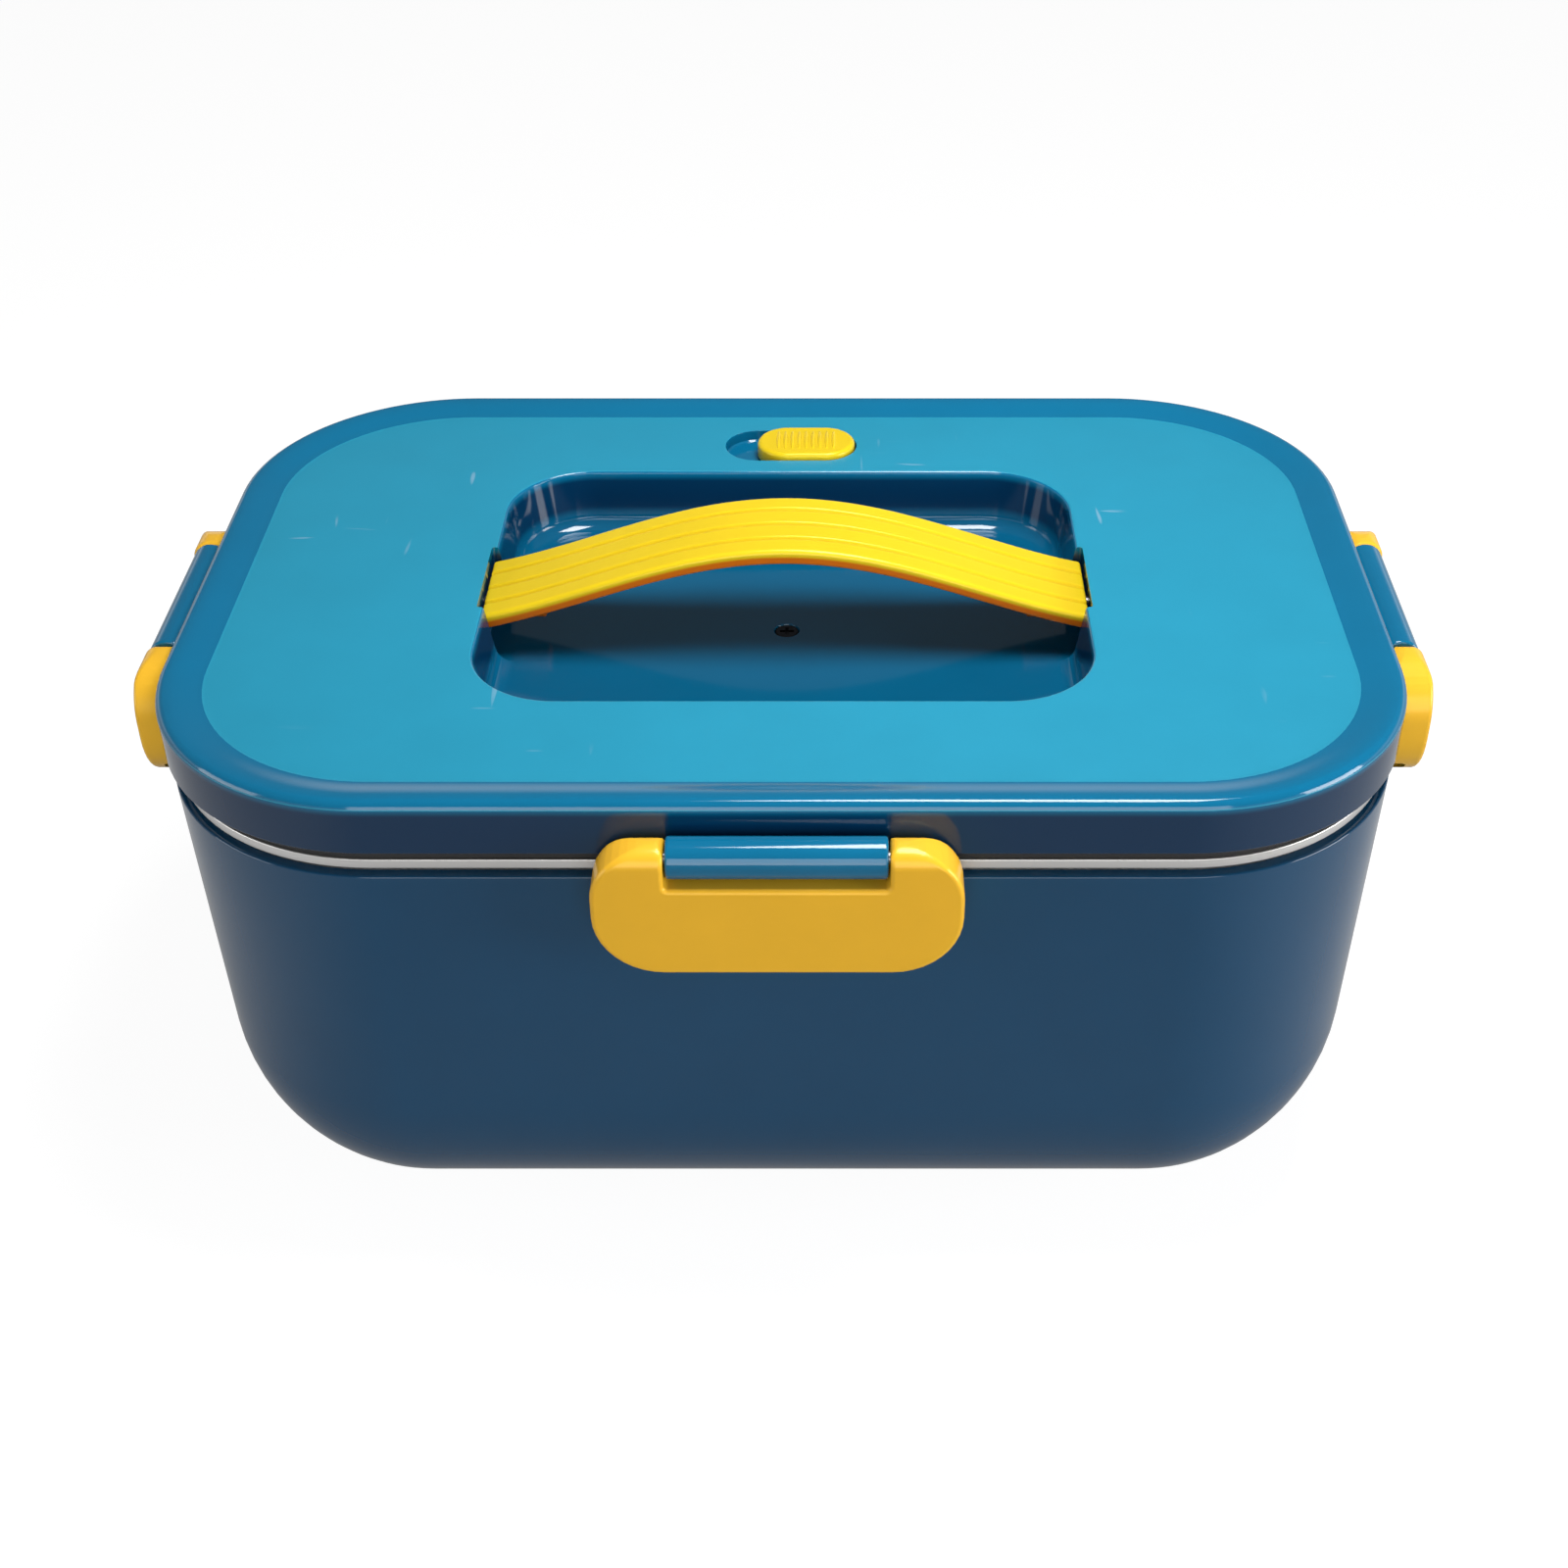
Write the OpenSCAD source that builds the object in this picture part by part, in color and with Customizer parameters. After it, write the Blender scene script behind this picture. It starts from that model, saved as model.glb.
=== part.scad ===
// Electric lunch box: a heated housing, a steel container, and a lift-off lid held by four latches.
// Origin at the centre of the rest plane, +X to the right, +Y to the back, +Z up.  Millimetres.

/* [Overall] */
// Width of the lid across its skirt
lid_w = 230; // [190:1:280]
// Depth of the lid across its skirt
lid_d = 156; // [128:1:190]
// Height from the rest plane to the lid's rim
overall_h = 118; // [98:1:142]
// Corner radius of the lid in plan
corner_r = 44; // [36:1:52]

/* [Housing] */
// How far the housing's top edge sits inside the lid's skirt
housing_step = 1; // [0.6:0.1:2]
// Wall of the housing
housing_wall = 2.4; // [2:0.1:3]
// Inward lean of the housing's walls, in degrees
housing_draft = 2; // [1:0.1:2.5]
// Radius that rolls the walls into the base
base_fillet = 42; // [34:1:46]
// Drop from the lid's rim to the housing's top edge
housing_drop = 16.5; // [15.5:0.1:18]
// Height of the rubber feet
foot_h = 2; // [1.5:0.1:3]
// Diameter of a rubber foot
foot_d = 11; // [8:0.5:13]
// Half length of the base cover
base_half_w = 62; // [50:1:64]
// Half depth of the base cover
base_half_d = 27; // [23:1:28]

/* [Container] */
// Depth of the steel container below its rim
container_depth = 70; // [56:1:76]
// Sheet thickness of the container
container_wall = 0.8; // [0.6:0.1:1.2]
// Radius at the container's bottom edge
container_fillet = 12; // [8:1:16]
// Inward lean of the container's walls, in degrees
container_draft = 1.5; // [0.5:0.1:2.5]
// Height of the container's rolled rim
rim_h = 1.9; // [1.5:0.1:2.5]
// Running room between the container and the well around it
container_gap = 0.8; // [0.5:0.1:1.5]

/* [Heater] */
// Thickness of the aluminium heater plate
heater_plate_t = 3; // [2:0.5:4]
// Length of one heating block
ptc_l = 50; // [40:1:54]
// Width of one heating block
ptc_w = 30; // [24:1:34]
// Height of one heating block
ptc_h = 7; // [5:0.5:8]
// Thickness of the insulation pad under the heater
pad_t = 3; // [2:0.5:4]

/* [Lid] */
// Height of the lid's skirt, from its rim down
skirt_h = 11; // [10:0.5:13]
// Width of the raised rim band
band_w = 7; // [4:0.5:9]
// Rise of the rim above the flat top
band_rise = 1.5; // [0.8:0.1:2]
// Wall of the lid
lid_wall = 2; // [1.6:0.1:2.4]
// Width of the hand recess
recess_w = 116.6; // [100:0.2:126]
// Depth of the hand recess, front to back
recess_d = 88; // [74:1:92]
// Corner radius of the hand recess
recess_r = 17; // [12:1:22]
// Drop from the lid's rim to the recess floor
recess_drop = 14; // [12:0.5:15]
// Height of the seal between the container's rim and the lid's liner
gasket_h = 2.7; // [2:0.1:3.2]

/* [Handle] */
// Width of the handle strap
handle_w = 21.7; // [18:0.1:24]
// Thickness of the handle strap
handle_t = 3.2; // [2.8:0.1:4]
// Height of the handle's crown above the lid's rim
handle_rise = 10.5; // [8:0.5:14]
// Width of one groove along the strap
groove_w = 1.1; // [0.8:0.1:1.6]
// Depth of one groove along the strap
groove_t = 0.7; // [0.4:0.1:1]
// Diameter of a handle pin
handle_pin_d = 2.4; // [2:0.1:3]
// Depth of the pocket that takes each end of the strap
handle_pocket = 1.4; // [1:0.1:1.8]

/* [Vent] */
// Length of the vent's slot
slot_l = 28.4; // [24:0.2:32]
// Width of the vent's slot
slot_w = 14; // [12:0.2:16]
// Depth of the vent's slot
slot_t = 2.6; // [2:0.1:3]
// Length of the vent's slider
slider_l = 21.2; // [18:0.2:22]
// Diameter of the steam hole
steam_d = 4.4; // [3:0.1:5]

/* [Latches] */
// Width of a latch
latch_w = 64; // [56:1:66]
// Length of the lid's barrel between a latch's ears
barrel_l = 37.8; // [32:0.2:42]
// Radius of the lid's barrel
barrel_r = 3.7; // [3.4:0.1:3.9]
// Drop from the lid's rim to the latch's pin
pin_drop = 8.5; // [8:0.1:10]
// Distance of the latch's pin outside the skirt
pin_out = 3.8; // [3.7:0.1:4.5]
// Diameter of a latch's pin
latch_pin_d = 2.2; // [1.8:0.1:2.6]
// Reach of a latch below its pin
latch_reach = 22.5; // [20:0.5:26]
// Distance from the pin to a latch's outer face
latch_face = 4.2; // [4:0.1:4.6]
// Corner radius of a latch's lower end
latch_r = 12.2; // [9:0.2:12.8]
// Corner radius of a latch's ears
latch_ear_r = 10; // [7:0.2:11]

/* [Hidden] */

FRONT = 0;
RIGHT = 1;
REAR = 2;
LEFT = 3;

round_fn = 48;         // true circles
corner_steps = 8;      // facets in a lofted corner
fillet_steps = 8;      // facets in a lofted fillet
wire_sides = 8;        // sides of a lead
eps = 0.01;            // lets a cut pass through a face
cut = 1;               // how far a cut runs past the solid
seat = 0.15;           // gap where a loose piece rests on another
run = 0.3;             // gap beside a moving face
fit = 0.05;            // radial clearance of a pin in its hole
slack = 0.2;           // gap round a piece dropped into its place

// Colours
TEAL = [0.09, 0.30, 0.40];
YELLOW = [0.93, 0.72, 0.12];
STEEL = [0.80, 0.79, 0.77];
GREY = [0.75, 0.75, 0.74];
DARK = [0.12, 0.12, 0.13];
ALUMINIUM = [0.84, 0.85, 0.87];
CREAM = [0.90, 0.87, 0.76];
BRASS = [0.80, 0.66, 0.30];
RED = [0.80, 0.12, 0.10];
BLUE = [0.15, 0.25, 0.65];

// Levels
half_w = lid_w / 2;
half_d = lid_d / 2;
lid_top = overall_h;
panel_z = lid_top - band_rise;
skirt_z = lid_top - skirt_h;
recess_z = lid_top - recess_drop;
pin_z = lid_top - pin_drop;
housing_top = lid_top - housing_drop;
housing_h = housing_top - foot_h;
housing_half_w = half_w - housing_step;
housing_half_d = half_d - housing_step;
housing_r = corner_r - housing_step;

// Well and container, as insets from the lid's outline
rim_inset = 2.2;
rim_wide = 3.8;
flange_t = 0.8;
liner_lip = 0.8;
liner_t = 2;
rim_z = housing_top + liner_lip + seat;
rim_top = rim_z + rim_h;
container_inset = 10.4;
container_z = rim_top - container_depth;
mouth_inset = container_inset + container_wall;
well_inset = container_inset - container_gap;
ledge_drop = 1.6;
ledge_t = 2.4;
ledge_w = 2.6;
ledge_root = 0.8;
liner_flange_inset = housing_step + housing_wall + 2 * slack;

// Heater stack under the container
plate_top = container_z - run;
plate_z = plate_top - heater_plate_t;
well_z = plate_z - liner_t;
plate_inset = 32;
window_gap = 1.4;
ptc_x = 38;
ptc_z = plate_z - ptc_h;
strip_t = 1.5;
strip_w = 20;
strip_z = ptc_z - strip_t;
bracket_gap = 2;
bracket_foot = 9;
bracket_x = ptc_x + ptc_l / 2 + bracket_gap;
pad_z = strip_z - pad_t;
window_half_w = ptc_x + ptc_l / 2 + window_gap;
pad_w = 36;

// Base
base_t = 2;
base_r = 6;
base_top = foot_h + base_t;
frame_t = 2.4;
frame_w = 6;
frame_out = 5;
post_d = 7;
post_x = 48;
post_edge = 3;
post_y = base_half_d - post_edge;
base_screw_d = 2.9;
base_screw_head = 5.4;
base_screw_l = 14;
foot_edge_x = 1;
foot_edge_y = 6;
foot_x = base_half_w - foot_d / 2 - foot_edge_x;
foot_y = base_half_d - foot_d / 2 - foot_edge_y;
foot_stem_d = 4;
window_half_d = post_y - post_d / 2 + run;

// Mains inlet, low on the rear
inlet_w = 27;
inlet_h = 16;
inlet_rise = 18;
inlet_recess = 13;
inlet_depth = 16;
inlet_z = foot_h + inlet_rise;
inlet_face = housing_half_d - inlet_recess;
inlet_back = inlet_face - inlet_depth;
inlet_wall = 1.6;
socket_w = 16.6;
socket_h = 8.6;
socket_depth = 11;
mains_pin_d = 2.36;
mains_pin_pitch = 8.6;
mains_pin_free = 9;
mains_pin_tail = 4;
mains_tail_d = 2;

// Indicator lamp beside the inlet
lamp_x = 24;
lamp_z = inlet_z;
lamp_d = 4.6;
lamp_l = 7;
lamp_recess = 11;
lamp_y = housing_half_d - lamp_recess;
lamp_body = 6;

// Thermostat and fuse
stat_d = 16;
stat_h = 6;
fuse_d = 4;
fuse_l = 12;
fuse_y = 18;
lead_d = 1.8;
lead_run = 8;           // straight stretch before a lead bends
fuse_run = 3.5;
heater_lead_x = 30;
live_bend = [12, 25];
neutral_bend = [-24, 26];
neutral_drop_y = 19;
lamp_bend_y = 24;
live_drop = 3;

// Lid parts
lid_edge_r = 2;
skirt_inset = lid_wall;
plug_wall = 1.8;
plug_gap = 0.8;
plug_inset = mouth_inset + plug_gap;
gasket_z = rim_top + seat;
flange_z = gasket_z + gasket_h;
liner_flange_t = 1.6;
presser_inset = 5;
presser_w = 2;
liner_floor_t = 1.6;
liner_floor_gap = 0.4;
liner_floor_z = recess_z - lid_wall - liner_floor_gap - liner_floor_t;
liner_rim_inset = rim_inset + 1;
gasket_inset = rim_inset + 1.4;
recess_wall = 2;
recess_draft = 1.9;
recess_fillet = 3;
lid_screw_d = 3;
lid_screw_head = 4.4;
lid_screw_l = 6;
cross_l = 2.8;
cross_w = 0.7;
lid_boss_d = 9;
lid_boss_h = 5.5;
boss_roof = 1;

// Handle
pivot_drop = 7.4;
handle_pivot_z = lid_top - pivot_drop;
handle_gap = 0.4;       // between the strap's end and its pocket
handle_half = recess_w / 2 + handle_pocket - handle_gap;
handle_wave = handle_half + 16.7;
handle_drop = handle_rise + 6;
handle_steps = 28;
handle_end_h = strap_top(handle_half) - handle_pivot_z;
pocket_half = norm([handle_w / 2, handle_end_h]) + run;
knuckle_r = 2.9;
knuckle_l = 8;
knuckle_end = recess_w / 2 - 2.5;
handle_pin_l = 13;
handle_pin_start = knuckle_end - 6;
pivot_boss_d = 7;
pivot_boss_l = 5.5;
lands = 4;

// Vent
slot_back = 21.5;
slot_y = half_d - slot_back;
slider_x = slot_l / 2 - run - slider_l / 2;
slider_w = slot_w - 2 * run;
slider_rise = 1.2;
slider_top = panel_z + slider_rise;
slot_z = panel_z - slot_t;
slot_floor_t = 1.8;
steam_x = 10.4;
chimney_d = 8.4;
slider_travel = slot_l - 2 * run - slider_l;
seal_d = 7.4;
seal_t = 1.4;
rib_count = 8;
rib_pitch = 1.7;
rib_w = 0.7;
rib_h = 0.35;
keel_l = 4;
keel_w = 3;
keel_foot_w = 5.4;
keel_foot_t = 0.9;
keel_shift = 0.2;
keel_x = slider_x + keel_shift;
keel_z = slot_z - slot_floor_t - seat - keel_foot_t;

// Latches
ear_r = 3.4;
ear_out = latch_face - ear_r;
latch_gap = 0.5;
latch_back = pin_out - latch_gap;
latch_plate = 2.5;
latch_rim = 2.2;
latch_top_r = 3.3;
notch_half = barrel_l / 2 + run;
notch_gap = 0.4;
notch_z = -barrel_r - notch_gap;
web_half = 2.6;
latch_pin_wall = 0.6;
pin_top_depth = ear_r - latch_pin_d / 2 - fit;
ear_corner_inset = latch_ear_r - sqrt(pow(latch_ear_r, 2) - pow(latch_ear_r - pin_top_depth, 2));
latch_pin_half = latch_w / 2 - ear_corner_inset - run - latch_pin_wall;
hook_half = 14;
hook_h = 2.3;
catch_half = 13;
catch_h = 2.5;
catch_out = 0.9;
hook_tip = pin_out - catch_out - run;
catch_z = pin_z - latch_reach + latch_rim + hook_h + slack;

// Rounded rectangle with true arcs, w and d being half sizes.
module plan(w, d, r) {
    square([2 * w, 2 * (d - r)], center = true);
    square([2 * (w - r), 2 * d], center = true);
    for (x = [-1, 1], y = [-1, 1])
        translate([x * (w - r), y * (d - r)])
            circle(r = r, $fn = round_fn);
}

// Slab whose outline lies inset inside the lid's outline.
module slab(inset, z, h) {
    translate([0, 0, z])
        linear_extrude(height = h)
            plan(half_w - inset, half_d - inset, corner_r - inset);
}

// Ring between two insets from the lid's outline.
module band(outer, inner, z, h) {
    difference() {
        slab(outer, z, h);
        slab(inner, z - cut, h + 2 * cut);
    }
}

// One ring of points round a rounded rectangle of half sizes w and d.
function ring(w, d, r, z) = [
    for (c = [0:3], i = [0:corner_steps])
        let (
            a = 90 * (c + i / corner_steps),
            sx = c == 0 || c == 3 ? 1 : -1,
            sy = c < 2 ? 1 : -1
        )
        [sx * (w - r) + r * cos(a), sy * (d - r) + r * sin(a), z]
];

// Ring that lies inset inside a body of half sizes w and d and corner radius r.
function inset_ring(w, d, r, inset, z, least = 3) =
    ring(w - inset, d - inset, max(r - inset, least), z);

// Closed solid through a stack of rings.
module loft(rings) {
    n = len(rings[0]);
    m = len(rings);
    points = [for (one = rings) for (p = one) p];
    sides = [
        for (k = [0:m - 2], i = [0:n - 1])
            let (
                j = (i + 1) % n,
                here = k * n,
                next = here + n
            )
            each [[here + i, next + i, next + j], [here + i, next + j, here + j]]
    ];
    bottom = [for (i = [0:n - 1]) i];
    top = [for (i = [n - 1:-1:0]) (m - 1) * n + i];
    polyhedron(points = points, faces = concat([bottom], sides, [top]), convexity = 6);
}

// Tub with leaning walls and a rolled bottom edge: half sizes at the top, and the levels it spans.
module tub(w, d, r, z0, z1, lean, fillet) {
    rolled = [
        for (k = [0:fillet_steps])
            let (
                t = 90 * k / fillet_steps,
                z = z0 + fillet * (1 - cos(t)),
                inset = fillet * (1 - sin(t)) + tan(lean) * (z1 - z)
            )
            inset_ring(w, d, r, inset, z)
    ];
    loft(concat(rolled, [inset_ring(w, d, r, 0, z1)]));
}

// The housing's outer form, grown inward by wall and open at the top when wall is above 0.
module housing_form(wall) {
    over = wall > 0 ? cut : 0;
    tub(
        housing_half_w - wall + tan(housing_draft) * over,
        housing_half_d - wall + tan(housing_draft) * over,
        housing_r - wall,
        foot_h + wall,
        housing_top + over,
        housing_draft,
        base_fillet - wall
    );
}

// Puts a part that is drawn for the front, with its outside towards -Y, on any side of the lid.
module at_side(side) {
    reach = side == FRONT || side == REAR ? half_d : half_w;
    rotate([0, 0, 90 * side])
        translate([0, -reach, 0])
            children();
}

module rod_x(r, from, to) {
    translate([from, 0, 0])
        rotate([0, 90, 0])
            cylinder(r = r, h = to - from, $fn = round_fn);
}

module rod_y(r, from, to) {
    translate([0, from, 0])
        rotate([-90, 0, 0])
            cylinder(r = r, h = to - from, $fn = round_fn);
}

function unit(v) = v / norm(v);

// Direction of a route at its point k, the mean of the stretches that meet there.
function heading(route, k) =
    k == 0 ? unit(route[1] - route[0])
    : k == len(route) - 1 ? unit(route[k] - route[k - 1])
    : unit(unit(route[k] - route[k - 1]) + unit(route[k + 1] - route[k]));

// Insulated lead along a route that never runs straight up.
module wire(route, d) {
    rings = [
        for (k = [0:len(route) - 1])
            let (
                ahead = heading(route, k),
                across = unit(cross(ahead, [0, 0, 1])),
                up = cross(across, ahead)
            )
            [
                for (i = [0:wire_sides - 1])
                    let (a = 360 * i / wire_sides)
                    route[k] + d / 2 * (cos(a) * across - sin(a) * up)
            ]
    ];
    loft(rings);
}

module four(x, y) {
    for (sx = [-1, 1], sy = [-1, 1])
        translate([sx * x, sy * y, 0])
            children();
}

// ---- Housing ----

module latch_catch() {
    depth = catch_out + housing_step + 2;
    translate([-catch_half, -catch_out, catch_z])
        cube([2 * catch_half, depth, catch_h]);
}

module inlet_block(grow) {
    translate([-inlet_w / 2 - grow, inlet_back, inlet_z - inlet_h / 2 - grow])
        cube([inlet_w + 2 * grow, housing_half_d + cut - inlet_back, inlet_h + 2 * grow]);
}

module housing_shell() {
    color(TEAL)
        difference() {
            union() {
                difference() {
                    housing_form(0);
                    housing_form(housing_wall);
                }
                band(
                    housing_step + housing_wall - ledge_root,
                    housing_step + housing_wall + ledge_w,
                    housing_top - ledge_drop - ledge_t,
                    ledge_t
                );
                translate([0, 0, base_top])
                    linear_extrude(height = frame_t)
                        plan(base_half_w + frame_out, base_half_d + frame_out, base_r + frame_out);
                for (side = [FRONT, RIGHT, REAR, LEFT])
                    at_side(side)
                        latch_catch();
            }
            translate([0, 0, foot_h - cut])
                linear_extrude(height = base_t + cut)
                    plan(base_half_w, base_half_d, base_r);
            translate([0, 0, base_top - cut])
                linear_extrude(height = frame_t + 2 * cut)
                    plan(base_half_w - frame_w, base_half_d - frame_w, base_r);
            four(post_x, post_y)
                translate([0, 0, base_top - cut])
                    cylinder(d = base_screw_d + 2 * slack, h = frame_t + 2 * cut, $fn = round_fn);
            inlet_block(slack);
            translate([lamp_x, 0, lamp_z])
                rod_y(lamp_d / 2 + slack, lamp_y - lamp_l, housing_half_d);
        }
}

module housing_liner() {
    color(GREY)
        difference() {
            union() {
                tub(
                    half_w - well_inset + liner_t,
                    half_d - well_inset + liner_t,
                    corner_r - well_inset + liner_t,
                    well_z,
                    housing_top + liner_lip,
                    container_draft,
                    container_fillet + liner_t
                );
                slab(liner_flange_inset, housing_top - ledge_drop, ledge_drop + liner_lip);
                four(post_x, post_y)
                    translate([0, 0, base_top + frame_t])
                        cylinder(d = post_d, h = well_z - base_top - frame_t + liner_t, $fn = round_fn);
            }
            tub(
                half_w - well_inset,
                half_d - well_inset,
                corner_r - well_inset,
                plate_z,
                housing_top + liner_lip + cut,
                container_draft,
                container_fillet
            );
            translate([0, 0, well_z - cut])
                linear_extrude(height = liner_t + 2 * cut)
                    plan(window_half_w, window_half_d, base_r);
            four(post_x, post_y)
                translate([0, 0, base_top + frame_t - cut])
                    cylinder(d = base_screw_d + fit, h = base_screw_l, $fn = round_fn);
        }
}

module base_cover() {
    color(TEAL)
        difference() {
            translate([0, 0, foot_h])
                linear_extrude(height = base_t)
                    plan(base_half_w - slack, base_half_d - slack, base_r - slack);
            four(post_x, post_y)
                translate([0, 0, foot_h - cut]) {
                    cylinder(d = base_screw_d + 2 * slack, h = base_t + 2 * cut, $fn = round_fn);
                    cylinder(d = base_screw_head + 2 * slack, h = base_t / 2 + cut, $fn = round_fn);
                }
            four(foot_x, foot_y)
                translate([0, 0, foot_h - cut])
                    cylinder(d = foot_stem_d, h = base_t + 2 * cut, $fn = round_fn);
        }
}

module base_screws() {
    color(STEEL)
        four(post_x, post_y)
            translate([0, 0, foot_h + eps]) {
                cylinder(d = base_screw_head, h = base_t / 2 - eps, $fn = round_fn);
                cylinder(d = base_screw_d, h = base_screw_l, $fn = round_fn);
            }
}

module rubber_feet() {
    color(DARK)
        four(foot_x, foot_y) {
            cylinder(d = foot_d, h = foot_h, $fn = round_fn);
            cylinder(d = foot_stem_d - 2 * fit, h = foot_h + base_t, $fn = round_fn);
        }
}

// ---- Heater ----

module heater_plate() {
    color(ALUMINIUM)
        slab(plate_inset, plate_z, heater_plate_t);
}

module ptc_heaters() {
    color(CREAM)
        for (x = [-1, 1])
            translate([x * ptc_x - ptc_l / 2, -ptc_w / 2, ptc_z])
                cube([ptc_l, ptc_w, ptc_h]);
}

module heater_bracket() {
    color(STEEL)
        difference() {
            union() {
                translate([-bracket_x, -strip_w / 2, strip_z])
                    cube([2 * bracket_x, strip_w, strip_t]);
                for (x = [-1, 1])
                    translate([x * (bracket_x - strip_t / 2), 0, 0]) {
                        translate([-strip_t / 2, -strip_w / 2, strip_z])
                            cube([strip_t, strip_w, well_z - strip_z]);
                        translate([x > 0 ? 0 : -bracket_foot, -strip_w / 2, well_z - strip_t])
                            cube([bracket_foot, strip_w, strip_t]);
                    }
            }
            for (x = [-1, 1])
                translate([x * (bracket_x + bracket_foot / 2), 0, well_z - strip_t - cut])
                    cylinder(d = base_screw_d + 2 * fit, h = strip_t + 2 * cut, $fn = round_fn);
        }
}

module bracket_screws() {
    color(STEEL)
        for (x = [-1, 1])
            translate([x * (bracket_x + bracket_foot / 2), 0, well_z - strip_t]) {
                translate([0, 0, -strip_t])
                    cylinder(d = base_screw_head, h = strip_t, $fn = round_fn);
                cylinder(d = base_screw_d, h = strip_t, $fn = round_fn);
            }
}

module insulation_pad() {
    color(CREAM)
        translate([-ptc_x - ptc_l / 2, -pad_w / 2, pad_z])
            cube([2 * ptc_x + ptc_l, pad_w, pad_t]);
}

module thermostat() {
    color(DARK)
        translate([0, 0, plate_z - stat_h])
            cylinder(d = stat_d, h = stat_h, $fn = round_fn);
}

module thermal_fuse() {
    color(CREAM)
        translate([0, fuse_y, plate_z - fuse_d / 2])
            rod_x(fuse_d / 2, -fuse_l / 2, fuse_l / 2);
}

// ---- Mains inlet, lamp and leads ----

module ac_inlet() {
    color(DARK)
        difference() {
            intersection() {
                inlet_block(0);
                housing_form(0);
            }
            translate([-inlet_w / 2 + inlet_wall, inlet_face, inlet_z - inlet_h / 2 + inlet_wall])
                cube([
                    inlet_w - 2 * inlet_wall,
                    housing_half_d - inlet_face,
                    inlet_h - 2 * inlet_wall
                ]);
            translate([0, inlet_face + cut, inlet_z])
                rotate([90, 0, 0])
                    linear_extrude(height = socket_depth + cut)
                        plan(socket_w / 2, socket_h / 2, socket_h / 2 - eps);
            for (x = [-1, 1])
                translate([x * mains_pin_pitch / 2, 0, inlet_z])
                    rod_y(mains_tail_d / 2 + fit, inlet_back - cut, inlet_face);
        }
}

module inlet_pins() {
    shoulder = inlet_face - socket_depth;
    color(BRASS)
        for (x = [-1, 1])
            translate([x * mains_pin_pitch / 2, 0, inlet_z]) {
                rod_y(mains_pin_d / 2, shoulder, shoulder + mains_pin_free);
                rod_y(mains_tail_d / 2, inlet_back - mains_pin_tail, shoulder);
            }
}

module indicator_lens() {
    color(RED)
        intersection() {
            translate([lamp_x, 0, lamp_z])
                rod_y(lamp_d / 2, lamp_y - lamp_l, housing_half_d);
            housing_form(0);
        }
}

module indicator_lamp() {
    color(CREAM)
        translate([lamp_x, 0, lamp_z])
            rod_y(lamp_d / 2 - 2 * fit, lamp_y - lamp_l - lamp_body, lamp_y - lamp_l);
}

// The leads' ends, each at the face of what it joins.
pin_tail_y = inlet_back - mains_pin_tail - eps;

module live_lead() {
    color(BLUE)
        wire([
            [mains_pin_pitch / 2, pin_tail_y, inlet_z],
            [mains_pin_pitch / 2, pin_tail_y - lead_run, inlet_z],
            [live_bend.x, live_bend.y, well_z - live_drop],
            [fuse_l / 2 + fuse_run, fuse_y, plate_z - fuse_d / 2],
            [fuse_l / 2 + eps, fuse_y, plate_z - fuse_d / 2]
        ], lead_d);
}

module neutral_lead() {
    color(BRASS)
        wire([
            [-mains_pin_pitch / 2, pin_tail_y, inlet_z],
            [-mains_pin_pitch / 2, pin_tail_y - lead_run, inlet_z],
            [neutral_bend.x, neutral_bend.y, ptc_z + ptc_h / 2],
            [-heater_lead_x, neutral_drop_y, ptc_z + ptc_h / 2],
            [-heater_lead_x, ptc_w / 2 + eps, ptc_z + ptc_h / 2]
        ], lead_d);
}

module lamp_lead() {
    color(RED)
        wire([
            [lamp_x, lamp_y - lamp_l - lamp_body - eps, lamp_z],
            [lamp_x, lamp_y - lamp_l - lamp_body - lead_run, lamp_z],
            [heater_lead_x, lamp_bend_y, ptc_z + ptc_h / 2],
            [heater_lead_x, ptc_w / 2 + eps, ptc_z + ptc_h / 2]
        ], lead_d);
}

// ---- Container ----

module food_container() {
    color(STEEL)
        difference() {
            union() {
                tub(
                    half_w - container_inset,
                    half_d - container_inset,
                    corner_r - container_inset,
                    container_z,
                    rim_top,
                    container_draft,
                    container_fillet
                );
                slab(rim_inset, rim_top - flange_t, flange_t);
                band(rim_inset, rim_inset + rim_wide, rim_z, rim_h);
            }
            tub(
                half_w - mouth_inset,
                half_d - mouth_inset,
                corner_r - mouth_inset,
                container_z + container_wall,
                rim_top + cut,
                container_draft,
                container_fillet - container_wall
            );
        }
}

// ---- Lid ----

module lid_form() {
    rounded = [
        for (k = [0:4])
            let (t = 90 * k / 4)
            inset_ring(
                half_w, half_d, corner_r,
                lid_edge_r * (1 - cos(t)),
                lid_top - lid_edge_r * (1 - sin(t))
            )
    ];
    loft(concat(
        [inset_ring(half_w, half_d, corner_r, 0, skirt_z)],
        rounded,
        [inset_ring(half_w, half_d, corner_r, lid_edge_r + band_w, panel_z)]
    ));
}

// The hand recess as a solid: leaning walls, a small fillet at the floor.
module recess_form() {
    w = recess_w / 2;
    d = recess_d / 2;
    lean = recess_draft / (panel_z - recess_z);
    rolled = [
        for (k = [0:3])
            let (
                t = 90 * k / 3,
                z = recess_z + recess_fillet * (1 - cos(t))
            )
            inset_ring(w, d, recess_r, recess_fillet * (1 - sin(t)) + lean * (panel_z - z), z)
    ];
    loft(concat(rolled, [inset_ring(w, d, recess_r, -lean * cut, panel_z + cut)]));
}

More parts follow.
